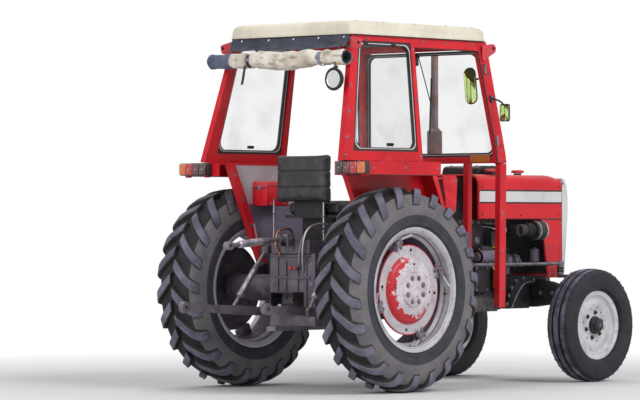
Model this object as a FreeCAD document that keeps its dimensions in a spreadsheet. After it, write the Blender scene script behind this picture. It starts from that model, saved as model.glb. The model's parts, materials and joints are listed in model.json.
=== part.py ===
"""Farm tractor with an open-sided cab, in millimetres.

In the drawing x runs forward from the rear axle, y to the left from the middle
and z up from the ground. Every node is then placed so that the middle of the
whole tractor's box stands over the origin.
"""
import FreeCAD, Part
import math
import os

import Sketcher

# Driving sizes, each a cell of the sheet

SIZES = {
    # Stance
    "wheelbase": 1985,
    "rear_track": 1340,
    "front_track": 1240,
    # Rear wheels
    "rear_tyre_r": 630,
    "rear_tyre_w": 315,
    "lug_tall": 38,
    "lug_fall": 4.8,
    "lug_wide": 34,
    "lug_long": 186,
    "lug_out": 76,
    "lug_slope_long": 44,
    "lug_slope_tall": 23,
    "lug_lean": 45,
    "rear_rim_r": 381,
    "rear_rim_w": 292,
    "rear_seat_depth": 25,
    "rear_well_depth": 21,
    "rim_gauge": 8,
    "bead_gap": 0.3,
    "disc_r": 277,
    "disc_gauge": 12,
    "ring_inset": 58,
    "dome_r": 200,
    "dome_inset": 38,
    "hub_r": 106,
    "hub_inset": 12,
    "hub_boss_r": 48,
    "hub_boss_out": 4,
    "half_shaft_r": 38,
    "half_shaft_in": 104,
    "clamp_long": 74,
    "clamp_wide": 34,
    "clamp_deep": 46,
    # Front wheels
    "front_tyre_r": 370,
    "front_tyre_w": 180,
    "groove_deep": 16,
    "front_rim_r": 222,
    "front_rim_w": 120,
    "front_seat_depth": 18,
    "front_well_depth": 20,
    "front_disc_inset": 34,
    "front_hub_r": 58,
    "front_hub_in": 44,
    "front_hub_cap_r": 46,
    "front_hub_cap_out": 22,
    "spindle_r": 20,
    "running_gap": 0.05,
    # Front axle and steering
    "kingpin_y": "=front_track / 2 - 145",
    "kingpin_r": 17,
    "kingpin_boss_r": 34,
    "kingpin_boss_low": 476,
    "kingpin_boss_high": 676,
    "knuckle_r": 30,
    "knuckle_low": 318,
    "steering_arm_long": 105,
    "steering_arm_wide": 40,
    "steering_arm_thick": 22,
    "thrust_gap": 1,
    "link_high": 770,
    "link_r": 11,
    "link_eye_r": 22,
    "link_eye_tall": 34,
    "drop_arm_x": 1050,
    "drop_arm_long": 180,
    "drop_arm_thick": 18,
    "drop_arm_wide": 40,
    "steer_shaft_r": 20,
    "sector_in": 80,
    "ball_pin_r": 10,
    "beam_high": 576,
    "beam_tall": 90,
    "beam_deep": 86,
    "bolster_rear": "=wheelbase - 335",
    "bolster_front": "=wheelbase + 135",
    "bolster_half": 175,
    "bolster_low": 630,
    "bolster_high": 690,
    "bolster_ear": 40,
    "axle_pin_r": 22,
    # Engine and gearbox
    "axle_high": 630,
    "gearbox_front": 965,
    "gearbox_half": 165,
    "gearbox_low": 430,
    "gearbox_high": 820,
    "centre_rear": -225,
    "centre_front": 300,
    "centre_half": 190,
    "centre_low": 400,
    "centre_high": 850,
    "lift_cover_high": 930,
    "trumpet_r": 84,
    "trumpet_end_r": 96,
    "trumpet_end_long": 60,
    "trumpet_inset": "=rear_track / 2 - 30",
    "engine_rear": 965,
    "engine_front": "=bolster_rear",
    "engine_half": 175,
    "engine_low": 560,
    "engine_high": 1060,
    "sump_half": 130,
    "sump_low": 470,
    # Bonnet and nose
    "bonnet_rear": 1222,
    "bonnet_front": "=wheelbase + 107",
    "bonnet_fall_x": "=bonnet_front - 107",
    "bonnet_fall": 20,
    "bonnet_half": 300,
    "bonnet_low": 1063,
    "bonnet_high": 1354,
    "bonnet_round": 55,
    "panel": 12,
    "nose_front_high": "=bonnet_front + 59",
    "nose_front_low": "=bonnet_front + 23",
    "nose_low": 700,
    "nose_frame": 42,
    "cheek_rear_high": "=bonnet_front - 212",
    "cheek_rear_low": "=bonnet_front - 148",
    "cheek_low": 677,
    "grille_inset": 12,
    "grille_slot": 20,
    "grille_bar": 12,
    "radiator_front": "=bonnet_front - 42",
    "radiator_rear": "=bonnet_front - 132",
    "cap_r": 42,
    "cap_tall": 38,
    "fuel_cap_x": 1430,
    "fuel_cap_y": -235,
    "cover_rear": 1350,
    "cover_front": 1620,
    "cover_right": -185,
    "cover_left": 120,
    "cover_high": 1413,
    "lamp_wide": 150,
    "lamp_tall": 96,
    "lamp_high": 850,
    # Exhaust and air cleaner
    "exhaust_x": 1375,
    "exhaust_y": 200,
    "exhaust_r": 24,
    "exhaust_top": 2150,
    "silencer_r": 50,
    "silencer_low": 1420,
    "silencer_high": 1661,
    "silencer_round": 22,
    "exhaust_hole_r": 60,
    "cleaner_rear": "=bonnet_front - 342",
    "cleaner_front": "=bonnet_front - 219",
    "cleaner_y": -315,
    "cleaner_high": 990,
    "cleaner_r": 62,
    "hose_r": 42,
    "hose_ring_r": 50,
    "hose_x": "=engine_front - 42",
    "starter_rear": 1300,
    "starter_front": 1485,
    "starter_high": 818,
    "starter_r": 46,
    # Cab
    "cab_half": 600,
    "cab_lean": 6.67,
    "cab_wall": 40,
    "roof_low": 2196,
    "roof_high": 2292,
    "roof_rear": -251,
    "roof_front": 1044,
    "roof_half": "=cab_half - 75",
    "roof_round": 40,
    "rear_post_foot": -429,
    "rear_post_head": -231,
    "front_post_knee": 1142,
    "front_post_head": 1045,
    "knee_high": 1475,
    "window_rear_low": -322,
    "window_rear_high": -186,
    "window_front_low": 284,
    "window_front_high": 304,
    "window_sill": 1480,
    "window_head": 2160,
    "door_rear_low": 322,
    "door_rear_high": 337,
    "door_head": 2135,
    "front_post_wide": 80,
    "leg_foot": 500,
    "leg_front_low": 1130,
    "leg_wide": 62,
    "inner_leg_y": 300,
    "glass": 6,
    "window_frame": 22,
    "window_clear": 0.2,
    "screen_head": 2140,
    "rail_tall": 42,
    "header_tall": 50,
    "curtain_x": -322.3,
    "curtain_y": "=cab_half - 55",
    "curtain_high": 2062,
    "curtain_r": 55,
    # Fenders, floor and steps
    "fender_rear": -378,
    "fender_front": 333,
    "fender_out": "=rear_track / 2 + 67",
    "fender_in": "=rear_track / 2 - 180",
    "fender_low": 1333,
    "fender_high": 1417,
    "fender_wall": 12,
    "fender_bar": 60,
    "side_low": 790,
    "side_rear_x": -20,
    "side_front_x": 300,
    "foot_rear_x": 420,
    "foot_front_x": 715,
    "shin_x": 670,
    "shin_high": 820,
    "hip_x": 560,
    "hip_high": 1060,
    "brow_x": 430,
    "brow_low": 1360,
    "apron_out": "=fender_in + 110",
    "apron_rear": 505,
    "apron_front": 655,
    "apron_low": 1095,
    "apron_high": 1338,
    "floor_high": 560,
    "floor_rear": 420,
    "step_rear": 655,
    "floor_front": 1100,
    "floor_plate": 14,
    "floor_skirt": 70,
    # Seat and controls
    "seat_x": 150,
    "seat_high": 1090,
    "seat_half": 230,
    "seat_stand_half": 130,
    "seat_post_half": 120,
    "seat_post_tall": 200,
    "back_lift": 60,
    "seat_long": 400,
    "seat_pad": 85,
    "back_tall": 330,
    "back_thick": 80,
    "wheel_hub_x": 660,
    "wheel_hub_high": 1290,
    "steering_wheel_r": 200,
    "pedal_x": 850,
    "pedal_long": 80,
    "pedal_wide": 50,
    "pedal_high": 130,
    "pedal_thick": 20,
    "pedal_y": -300,
    "brake_y": -240,
    "clutch_y": 260,
    "lever_high": 1020,
    "lever_r": 7,
    "knob_r": 20,
    "wheel_rim_r": 14,
    "wheel_lean": 30,
    "column_r": 22,
    "column_long": 400,
    "dash_rear": 880,
    "dash_half": 170,
    "steering_box_high": 1010,
    "steering_notch": 64,
    "wheel_shaft_r": 9,
    "dash_high": 1330,
    # Rear hitch
    "lift_shaft_x": 40,
    "lift_shaft_high": 890,
    "lift_shaft_r": 26,
    "lift_arm_x": -170,
    "lift_arm_high": 872,
    "lift_arm_y": 250,
    "lift_arm_thick": 26,
    "link_front_x": 60,
    "link_front_y": 235,
    "link_front_high": 470,
    "link_ball_x": -830,
    "link_ball_y": 345,
    "link_ball_high": 520,
    "link_ball_r": 11.2,
    "link_ball_wide": 35,
    "lower_link_tall": 60,
    "lower_link_thick": 20,
    "lift_rod_r": 13,
    "lift_eye_r": 26,
    "lift_eye_x": -430,
    "link_eye_gap": 9,
    "hitch_pin_r": 12,
    "top_link_x": -277,
    "top_link_high": 945,
    "top_link_end_x": -800,
    "top_link_end_high": 900,
    "top_link_r": 15,
    "top_link_ball_r": 9.65,
    "top_link_ball_wide": 44,
    "pto_r": 17.45,
    "pto_high": 520,
    "pto_end": -345,
    "drawbar_end": -420,
    "drawbar_half": 38,
    "drawbar_thick": 28,
    "drawbar_hole_r": 13,
    "guard_half": 95,
    "guard_high": 610,
    # Lamps, mirrors and small pieces
    "lamp_in": "=fender_out - 192",
    "lamp_out": "=fender_out + 43",
    "lamp_back": -440,
    "work_lamp_x": -352,
    "work_lamp_y": "=123 - cab_half",
    "work_lamp_high": 1918,
    "work_lamp_r": 71,
    "work_lamp_deep": 50,
    "mirror_x": 1000,
    "mirror_y": "=cab_half - 185",
    "mirror_high": 1915,
    "mirror_wide": 112,
    "mirror_tall": 245,
    "side_mirror_y": "=cab_half + 65",
    "side_mirror_high": 1740,
    "box_rear": -68,
    "box_front": 142,
    "box_low": 1146,
    "box_high": 1304,
    "box_wide": 124,
}

doc = FreeCAD.newDocument("FarmTractor")
sheet = doc.addObject("Spreadsheet::Sheet", "Sizes")
for row, (alias, number) in enumerate(SIZES.items(), start=1):
    cell = "A%d" % row
    sheet.set(cell, str(number))
    sheet.setAlias(cell, alias)
doc.recompute()


class Length:
    """A size with its number and the sheet expression that gives it."""

    def __init__(self, number, text):
        self.number = number
        self.text = text

    def joined(self, other, sign, number):
        return Length(number, "(%s %s %s)" % (self.text, sign, as_length(other).text))

    def __add__(self, other):
        return self.joined(other, "+", self.number + as_length(other).number)

    def __sub__(self, other):
        return self.joined(other, "-", self.number - as_length(other).number)

    def __mul__(self, other):
        return self.joined(other, "*", self.number * as_length(other).number)

    def __truediv__(self, other):
        return self.joined(other, "/", self.number / as_length(other).number)

    def __radd__(self, other):
        return as_length(other) + self

    def __rsub__(self, other):
        return as_length(other) - self

    def __rmul__(self, other):
        return as_length(other) * self

    def __neg__(self):
        return Length(-self.number, "(0 - %s)" % self.text)


def sine(angle):
    """The sine of an angle in degrees."""
    return Length(math.sin(math.radians(angle.number)), "sin(%s)" % angle.text)


def cosine(angle):
    """The cosine of an angle in degrees."""
    return Length(math.cos(math.radians(angle.number)), "cos(%s)" % angle.text)


def slope_angle(rise, run):
    """The angle in degrees whose tangent is rise over run."""
    rise = as_length(rise)
    run = as_length(run)
    number = math.degrees(math.atan2(rise.number, run.number))
    return Length(number, "(atan2(%s; %s) / (1 deg))" % (rise.text, run.text))


def as_length(value):
    """A plain number as a Length."""
    if isinstance(value, Length):
        return value
    return Length(value, "%.9g" % value if value >= 0 else "(0 - %.9g)" % -value)


class Sizes:
    """Reads a cell of the sheet by its alias."""

    def __getattr__(self, alias):
        return Length(float(sheet.get(alias)), "Sizes." + alias)


s = Sizes()

FRONT = s.wheelbase + s.front_tyre_r
BACK = s.link_ball_x - s.link_ball_wide
MIDDLE_X = (FRONT + BACK) / 2

AXES = {
    "x": FreeCAD.Vector(1, 0, 0),
    "y": FreeCAD.Vector(0, 1, 0),
    "z": FreeCAD.Vector(0, 0, 1),
}
NODES = []

REAR_FACETS = 24
FRONT_FACETS = 20
LUGS = 22
GRILLE_SLOTS = 16


# Helpers that bind shapes to the sheet

def bind(thing, prop, value):
    """Set one property from a size and keep its expression."""
    value = as_length(value)
    thing.setExpression(prop, value.text)


def turn(thing, axis, angle):
    """Bind how far a thing is turned about x, y or z."""
    angle = as_length(angle)
    thing.Placement.Rotation = FreeCAD.Rotation(AXES[axis], angle.number)
    turned_about = thing.Placement.Rotation.Axis * AXES[axis]
    bind(thing, "Placement.Rotation.Angle", angle if turned_about > 0 else -angle)


def place(thing, x=0, y=0, z=0):
    """Bind where a thing stands."""
    for letter, value in zip("xyz", (x, y, z)):
        bind(thing, "Placement.Base." + letter, value)


def box(name, x, y, z):
    """A block between pairs of x, y and z."""
    block = doc.addObject("Part::Box", name)
    bind(block, "Length", x[1] - x[0])
    bind(block, "Width", y[1] - y[0])
    bind(block, "Height", z[1] - z[0])
    place(block, x[0], y[0], z[0])
    return block


def turn_to(direction):
    """The rotation that takes the z axis to a direction."""
    return FreeCAD.Rotation(AXES["z"], direction)


def rod(name, axis, radius, start, end, centre):
    """A cylinder along x, y or z, from start to end, about the other two places."""
    cylinder = doc.addObject("Part::Cylinder", name)
    bind(cylinder, "Radius", radius)
    bind(cylinder, "Height", end - start)
    cylinder.Placement = FreeCAD.Placement(FreeCAD.Vector(), turn_to(AXES[axis]))
    place(cylinder, *at_axis(axis, start, centre))
    return cylinder


def at_axis(axis, along, centre):
    """The three places of a point given along one axis and across it."""
    spot = list(centre)
    spot.insert("xyz".index(axis), along)
    return spot


def bar(name, radius, start, end):
    """A round bar between two points."""
    line = [b - a for a, b in zip(start, end)]
    numbers = [as_length(v).number for v in line]
    direction = FreeCAD.Vector(*numbers)
    cylinder = doc.addObject("Part::Cylinder", name)
    squares = line[0] * line[0] + line[1] * line[1] + line[2] * line[2]
    bind(cylinder, "Radius", radius)
    cylinder.setExpression("Height", "sqrt(%s)" % squares.text)
    cylinder.Placement = FreeCAD.Placement(FreeCAD.Vector(), turn_to(direction))
    place(cylinder, *start)
    return cylinder


def own_plane(body, role):
    """One of the three planes that a body is drawn on."""
    return [part for part in body.Origin.OriginFeatures if part.Role == role][0]


def draw(body, role, loops, offset=0):
    """A sketch of closed loops, each corner held by the sheet."""
    sketch = body.newObject("Sketcher::SketchObject", body.Name + "_outline")
    sketch.AttachmentSupport = (own_plane(body, role), [""])
    sketch.MapMode = "FlatFace"
    bind(sketch, "AttachmentOffset.Base.z", offset)
    for loop in loops:
        draw_loop(sketch, loop)
    return sketch


def draw_loop(sketch, corners):
    """One closed loop of straight lines."""
    spots = [(as_length(a), as_length(b)) for a, b in corners]
    first = sketch.GeometryCount
    count = len(spots)
    for index in range(count):
        here = spots[index]
        there = spots[(index + 1) % count]
        sketch.addGeometry(Part.LineSegment(
            FreeCAD.Vector(here[0].number, here[1].number, 0),
            FreeCAD.Vector(there[0].number, there[1].number, 0)), False)
    for index in range(count):
        line = first + index
        following = first + (index + 1) % count
        sketch.addConstraint(Sketcher.Constraint("Coincident", line, 2, following, 1))
        for kind, value in zip(("DistanceX", "DistanceY"), spots[index]):
            held = Sketcher.Constraint(kind, -1, 1, line, 1, value.number)
            number = sketch.addConstraint(held)
            bind(sketch, "Constraints[%d]" % number, value)


PLANES = {"xy": ("XY_Plane", 1), "xz": ("XZ_Plane", -1), "yz": ("YZ_Plane", 1)}


def prism(name, plane, loops, low, high):
    """A body padded from loops drawn in a plane, between two places across it."""
    body = doc.addObject("PartDesign::Body", name)
    doc.recompute()
    role, sign = PLANES[plane]
    start = low if sign > 0 else -as_length(high)
    sketch = draw(body, role, loops, start)
    pad = body.newObject("PartDesign::Pad", name + "_pad")
    pad.Profile = sketch
    bind(pad, "Length", high - low)
    sketch.Visibility = False
    body.Tip = pad
    return body


def turned(name, axis, corners):
    """A body turned about x, y or z from (along, radius) corners."""
    body = doc.addObject("PartDesign::Body", name)
    doc.recompute()
    role, line = {"x": ("XZ_Plane", "H_Axis"), "y": ("YZ_Plane", "H_Axis"),
                  "z": ("XZ_Plane", "V_Axis")}[axis]
    if axis == "z":
        corners = [(radius, along) for along, radius in corners]
    sketch = draw(body, role, [corners])
    turn = body.newObject("PartDesign::Revolution", name + "_turn")
    turn.Profile = sketch
    turn.ReferenceAxis = (sketch, [line])
    turn.Angle = 360
    body.Tip = turn
    return body


def rounded(name, source, radius, wanted):
    """Round the edges of a shape whose middle passes a test."""
    doc.recompute()
    edges = []
    for number, edge in enumerate(source.Shape.Edges, start=1):
        middle = edge.CenterOfMass
        along = edge.tangentAt(edge.FirstParameter)
        if wanted(middle, along):
            edges.append((number, radius.number, radius.number))
    fillet = doc.addObject("Part::Fillet", name)
    fillet.Base = source
    fillet.Edges = edges
    return fillet


def fused(name, *parts):
    """Several shapes made one solid."""
    union = doc.addObject("Part::MultiFuse", name)
    union.Shapes = list(parts)
    union.Refine = True
    return union


def cut(name, base, *tools):
    """A shape with others taken away."""
    tool = tools[0]
    if len(tools) > 1:
        tool = group(name + "_tools", *tools)
    result = doc.addObject("Part::Cut", name)
    result.Base = base
    result.Tool = tool
    return result


def group(name, *parts):
    """Solids that lie apart and share a name."""
    together = doc.addObject("Part::Compound", name)
    together.Links = list(parts)
    return together


def shared(name, first, second):
    """What two shapes have in common."""
    common = doc.addObject("Part::Common", name)
    common.Base = first
    common.Tool = second
    return common


def spun(name, thing, angle):
    """A copy of a thing turned about the y axis."""
    copy = group(name, thing)
    turn(copy, "y", angle)
    return copy


def node(label, thing, x=0, y=0, z=0):
    """Name a finished piece and place it over the tractor's middle."""
    thing.Label = label
    place(thing, x - MIDDLE_X, y, z)
    NODES.append(thing)
    return thing


def mirrored(label, thing):
    """The left-hand copy of a right-hand node."""
    copy = doc.addObject("Part::Mirroring", label)
    copy.Source = thing
    copy.Normal = AXES["y"]
    copy.Label = label
    NODES.append(copy)
    return copy


def mirror_part(name, thing):
    """The left-hand twin of a piece inside one node."""
    copy = doc.addObject("Part::Mirroring", name)
    copy.Source = thing
    copy.Normal = AXES["y"]
    return copy


# Wheels

def faceted_tyre(name, half, facets):
    """A tyre of flat faces, its (across, radius) half section turned round the axle in steps."""
    step = as_length(180 / facets)
    right = [(across, radius * cosine(step)) for across, radius in half]
    loop = right + [(-across, high) for across, high in reversed(right)]
    tall = half[-1][1] * 1.2
    reach = tall * sine(step) / cosine(step)
    wide = half[-1][1]
    section = prism(name + "_section", "yz", [loop], -reach, reach)
    wedge = prism(name + "_wedge", "xz", [[(0, 0), (-reach, tall), (reach, tall)]], -wide, wide)
    slice_whole = shared(name + "_slice", section, wedge)
    return [spun("%s_slice_%d" % (name, index), slice_whole, (index + 0.5) * 360 / facets)
            for index in range(facets)]


def bead_corners(rim_r, seat_depth, rim_w, facets):
    """The two corners of a tyre's bead, clear of the round rim."""
    seat_r = rim_r - seat_depth + s.bead_gap
    bead = rim_w / 2 - s.rim_gauge - s.bead_gap
    return [(bead, seat_r / cosine(as_length(180 / facets))), (bead, rim_r + s.rim_gauge * 0.7)]


def tread_lug(name, side):
    """One slanting lug on one half of the rear tread, at the top of the tyre."""
    half_long = s.lug_long / 2
    tip = s.rear_tyre_r - s.lug_fall
    root = s.rear_tyre_r - s.lug_tall * 1.6
    bar_form = prism(name, "yz", [[
        (-half_long, root), (-half_long, tip), (half_long - s.lug_slope_long, tip),
        (half_long, tip - s.lug_slope_tall), (half_long, s.rear_tyre_r - s.lug_tall * 3)]],
        -(s.lug_wide / 2), s.lug_wide / 2)
    leaning = group(name + "_lean", bar_form)
    turn(leaning, "z", s.lug_lean if side > 0 else 180 - s.lug_lean)
    place(leaning, 0, s.lug_out * side, 0)
    return leaning


def rear_tyre():
    """Rear tyre with its two rows of lugs."""
    wide = s.rear_tyre_w / 2
    wall = s.rear_tyre_r - s.rear_rim_r
    half = bead_corners(s.rear_rim_r, s.rear_seat_depth, s.rear_rim_w, REAR_FACETS)
    half += [
        (wide, s.rear_rim_r + wall * 0.24),
        (wide, s.rear_rim_r + wall * 0.48),
        (wide * 0.95, s.rear_rim_r + wall * 0.74),
        (wide * 0.76, s.rear_tyre_r - s.lug_tall),
    ]
    parts = faceted_tyre("rear_tyre", half, REAR_FACETS)
    for name, side, shift in (("lug_left", 1, 0), ("lug_right", -1, 0.5)):
        lug = tread_lug(name, side)
        parts += [spun("%s_%d" % (name, index), lug, (index + shift) * 360 / LUGS)
                  for index in range(LUGS)]
    return fused("rear_tyre", *parts)


def front_tyre():
    """Front tyre with three ribs round it."""
    wide = s.front_tyre_w / 2
    wall = s.front_tyre_r - s.front_rim_r
    half = bead_corners(s.front_rim_r, s.front_seat_depth, s.front_rim_w, FRONT_FACETS)
    half += [
        (wide * 0.93, s.front_rim_r + wall * 0.14),
        (wide, s.front_rim_r + wall * 0.27),
        (wide, s.front_rim_r + wall * 0.47),
        (wide * 0.955, s.front_rim_r + wall * 0.8),
        (wide * 0.73, s.front_tyre_r - s.groove_deep / 2),
        (wide * 0.4, s.front_tyre_r - s.groove_deep / 4),
        (wide * 0.355, s.front_tyre_r - s.groove_deep),
        (wide * 0.245, s.front_tyre_r - s.groove_deep),
        (wide * 0.2, s.front_tyre_r),
    ]
    return fused("front_tyre", *faceted_tyre("front_tyre", half, FRONT_FACETS))


def rim_corners(rim_r, seat_depth, well_depth, rim_w):
    """A rim's section as (across, radius)."""
    half = rim_w / 2
    seat_r = rim_r - seat_depth
    well_r = seat_r - well_depth
    outside = [
        (half, rim_r),
        (half - s.rim_gauge, rim_r),
        (half - s.rim_gauge, seat_r),
        (half * 0.52, seat_r),
        (half * 0.4, well_r),
    ]
    inside = [
        (half * 0.46, well_r - s.rim_gauge),
        (half * 0.58, seat_r - s.rim_gauge),
        (half, seat_r - s.rim_gauge),
    ]
    left = [(-across, high) for across, high in outside]
    left_inside = [(-across, high) for across, high in inside]
    return outside + left[::-1] + left_inside[::-1] + inside


def rear_wheels():
    """Tyre, rim with its clamps, and pressed centre on the axle flange."""
    y = -(s.rear_track / 2)
    tyre = rear_tyre()
    node("rear_tyre_right", tyre, 0, y, s.axle_high)
    mirrored("rear_tyre_left", tyre)

    ring = turned("rear_rim_ring", "y", rim_corners(
        s.rear_rim_r, s.rear_seat_depth, s.rear_well_depth, s.rear_rim_w))
    clamps = [rim_clamp(index, angle) for index, angle in enumerate((50, 140, 230, 320))]
    rim = fused("rear_rim", ring, *clamps)
    node("rear_rim_right", rim, 0, y, s.axle_high)
    mirrored("rear_rim_left", rim)

    centre = turned("rear_centre", "y", centre_corners())
    node("rear_centre_right", centre, 0, y, s.axle_high)
    mirrored("rear_centre_left", centre)


def rim_clamp(index, angle):
    """A bracket inside the rim's well that the centre is bolted to."""
    face = -(s.rear_rim_w / 2 - s.ring_inset - s.disc_gauge)
    inner = s.disc_r - s.clamp_wide
    block = box("clamp_%d" % index, (-(s.clamp_long / 2), s.clamp_long / 2),
                (face + s.thrust_gap / 2, face + s.clamp_deep),
                (inner, s.rear_rim_r - s.rear_seat_depth - s.rear_well_depth - 2))
    return spun("clamp_turn_%d" % index, block, angle)


def centre_corners():
    """The wheel centre's section for the right side, outboard towards minus y."""
    plane = -(s.rear_rim_w / 2)
    ring = plane + s.ring_inset
    dome = plane + s.dome_inset
    hub = plane + s.hub_inset
    skin = s.disc_gauge
    return [
        (ring, s.disc_r),
        (ring, s.dome_r + skin),
        (dome, s.dome_r),
        (hub, s.hub_r),
        (plane, s.hub_r - s.hub_boss_out),
        (plane, s.hub_boss_r),
        (plane - s.hub_boss_out, s.hub_boss_r - s.hub_boss_out),
        (plane - s.hub_boss_out, 0),
        (hub + s.half_shaft_in + skin, 0),
        (hub + s.half_shaft_in + skin, s.half_shaft_r),
        (hub + skin * 2, s.half_shaft_r),
        (hub + skin * 2, s.hub_r - skin),
        (hub + skin, s.hub_r - skin / 2),
        (dome + skin, s.dome_r - skin / 2),
        (ring + skin, s.dome_r + skin / 2),
        (ring + skin, s.disc_r),
    ]


def front_wheels():
    """Tyre, and pressed wheel with its hub."""
    y = -(s.front_track / 2)
    tyre = front_tyre()
    node("front_tyre_right", tyre, s.wheelbase, y, s.front_tyre_r)
    mirrored("front_tyre_left", tyre)

    rim = turned("front_rim", "y", rim_corners(
        s.front_rim_r, s.front_seat_depth, s.front_well_depth, s.front_rim_w))
    plane = -(s.front_rim_w / 2)
    disc = plane + s.front_disc_inset
    well_r = s.front_rim_r - s.front_seat_depth - s.front_well_depth
    bore = s.spindle_r + s.running_gap
    hub = turned("front_hub", "y", [
        (disc, well_r - s.rim_gauge / 2),
        (disc, s.front_hub_r + s.rim_gauge),
        (disc - s.rim_gauge, s.front_hub_r),
        (plane + s.rim_gauge, s.front_hub_cap_r + s.rim_gauge),
        (plane - s.front_hub_cap_out, s.front_hub_cap_r - s.rim_gauge),
        (plane - s.front_hub_cap_out, 0),
        (plane + s.rim_gauge, 0),
        (plane + s.rim_gauge, bore),
        (s.front_hub_in, bore),
        (s.front_hub_in, s.front_hub_r),
        (disc + s.rim_gauge, s.front_hub_r),
        (disc + s.rim_gauge, well_r - s.rim_gauge / 2),
    ])
    wheel = fused("front_wheel", rim, hub)
    node("front_wheel_right", wheel, s.wheelbase, y, s.front_tyre_r)
    mirrored("front_wheel_left", wheel)


# Front axle and steering

def front_axle():
    """Cast support under the radiator, and the beam that rocks on its pin."""
    half = s.bolster_half
    beam_low = s.beam_high - s.beam_tall / 2
    beam_rear = s.wheelbase - s.beam_deep / 2
    beam_front = s.wheelbase + s.beam_deep / 2
    ear_rear = beam_rear - s.bolster_ear - s.thrust_gap
    ears = [box(name, (start, start + s.bolster_ear), (-(half * 0.6), half * 0.6),
                (beam_low, s.bolster_low + s.thrust_gap))
            for name, start in (("ear_rear", ear_rear), ("ear_front", beam_front + s.thrust_gap))]
    low = s.sump_low + s.thrust_gap * 5
    flanks = prism("support_flanks", "xz", [[
        (s.bolster_rear, low), (ear_rear, low), (ear_rear, s.bolster_low),
        (s.bolster_front, s.bolster_low), (s.bolster_front, s.bolster_high),
        (s.bolster_rear + 250, s.bolster_high), (s.bolster_rear + 150, s.bolster_high - 25),
        (s.bolster_rear + 70, s.bolster_high - 80), (s.bolster_rear + 20, s.bolster_high - 190)]],
        -half, half)
    core = box("support_core", (s.bolster_rear, ear_rear), (-s.sump_half, s.sump_half),
               (low, s.bolster_high))
    pin = rod("axle_pin", "x", s.axle_pin_r, beam_rear - s.bolster_ear, beam_front + s.bolster_ear,
              (0, s.beam_high))
    node("front_support", fused("front_support", flanks, core, pin, *ears))

    beam = box("beam", (beam_rear, beam_front),
               (-(s.kingpin_y - s.kingpin_boss_r / 2), s.kingpin_y - s.kingpin_boss_r / 2),
               (beam_low, s.beam_high + s.beam_tall / 2 - 40))
    boss = rod("boss", "z", s.kingpin_boss_r, s.kingpin_boss_low, s.kingpin_boss_high,
               (s.wheelbase, -s.kingpin_y))
    pin_hole = rod("axle_pin_hole", "x", s.axle_pin_r + s.running_gap, beam_rear - 1,
                   beam_front + 1, (0, s.beam_high))
    bore = rod("kingpin_hole", "z", s.kingpin_r + s.running_gap, s.kingpin_boss_low - 1,
               s.kingpin_boss_high + 1, (s.wheelbase, -s.kingpin_y))
    whole = fused("beam_whole", beam, boss, mirror_part("boss_left", boss))
    node("front_axle_beam", cut("front_axle_beam", whole, pin_hole, bore,
                                mirror_part("bore_left", bore)))


def steering_knuckles():
    """Upright with spindle and steering arm, turning in the beam's boss."""
    y = -s.kingpin_y
    x = s.wheelbase
    hub_end = -(s.front_track / 2) + s.front_hub_in
    upright = rod("upright", "z", s.knuckle_r, s.knuckle_low,
                  s.kingpin_boss_low - s.thrust_gap, (x, y))
    pin = rod("kingpin", "z", s.kingpin_r, s.knuckle_low + 20,
              s.kingpin_boss_high + s.thrust_gap + s.steering_arm_thick, (x, y))
    flange = rod("spindle_flange", "y", s.front_hub_r - s.rim_gauge, hub_end + s.thrust_gap,
                 y + 10, (x, s.front_tyre_r))
    spindle = rod("spindle", "y", s.spindle_r,
                  -(s.front_track / 2) - s.front_rim_w / 2 + s.rim_gauge * 2, y, (x, s.front_tyre_r))
    arm_low = s.kingpin_boss_high + s.thrust_gap
    arm = box("steering_arm", (x - s.steering_arm_wide / 2, x + s.steering_arm_wide / 2),
              (y, y + s.steering_arm_long), (arm_low, arm_low + s.steering_arm_thick))
    arm_boss = rod("arm_boss", "z", s.knuckle_r, arm_low, arm_low + s.steering_arm_thick, (x, y))
    eye = rod("arm_eye", "z", s.steering_arm_wide / 2, arm_low, arm_low + s.steering_arm_thick,
              (x, y + s.steering_arm_long))
    ball_pin = rod("arm_ball_pin", "z", s.ball_pin_r, arm_low, s.link_high + s.link_eye_tall / 2,
                   (x, y + s.steering_arm_long))
    knuckle = fused("knuckle", upright, pin, flange, spindle, arm, arm_boss, eye, ball_pin)
    node("knuckle_right", knuckle)
    mirrored("knuckle_left", knuckle)


def drag_links():
    """Long rod from each drop arm to its steering arm."""
    y = -s.kingpin_y + s.steering_arm_long
    arm_top = s.kingpin_boss_high + s.thrust_gap + s.steering_arm_thick
    rod_body = rod("link_rod", "x", s.link_r, s.drop_arm_x, s.wheelbase, (y, s.link_high))
    front_eye = rod("link_front_eye", "z", s.link_eye_r, arm_top + s.thrust_gap,
                    s.link_high + s.link_eye_tall / 2, (s.wheelbase, y))
    rear_eye = rod("link_rear_eye", "y", s.link_eye_r, y - s.link_eye_tall / 2,
                   y + s.link_eye_tall / 2, (s.drop_arm_x, s.link_high))
    pin_hole = rod("link_pin_hole", "z", s.ball_pin_r + s.running_gap, arm_top,
                   s.link_high + s.link_eye_tall, (s.wheelbase, y))
    link = cut("drag_link", fused("drag_link_whole", rod_body, front_eye, rear_eye), pin_hole)
    node("drag_link_right", link)
    mirrored("drag_link_left", link)


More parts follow.
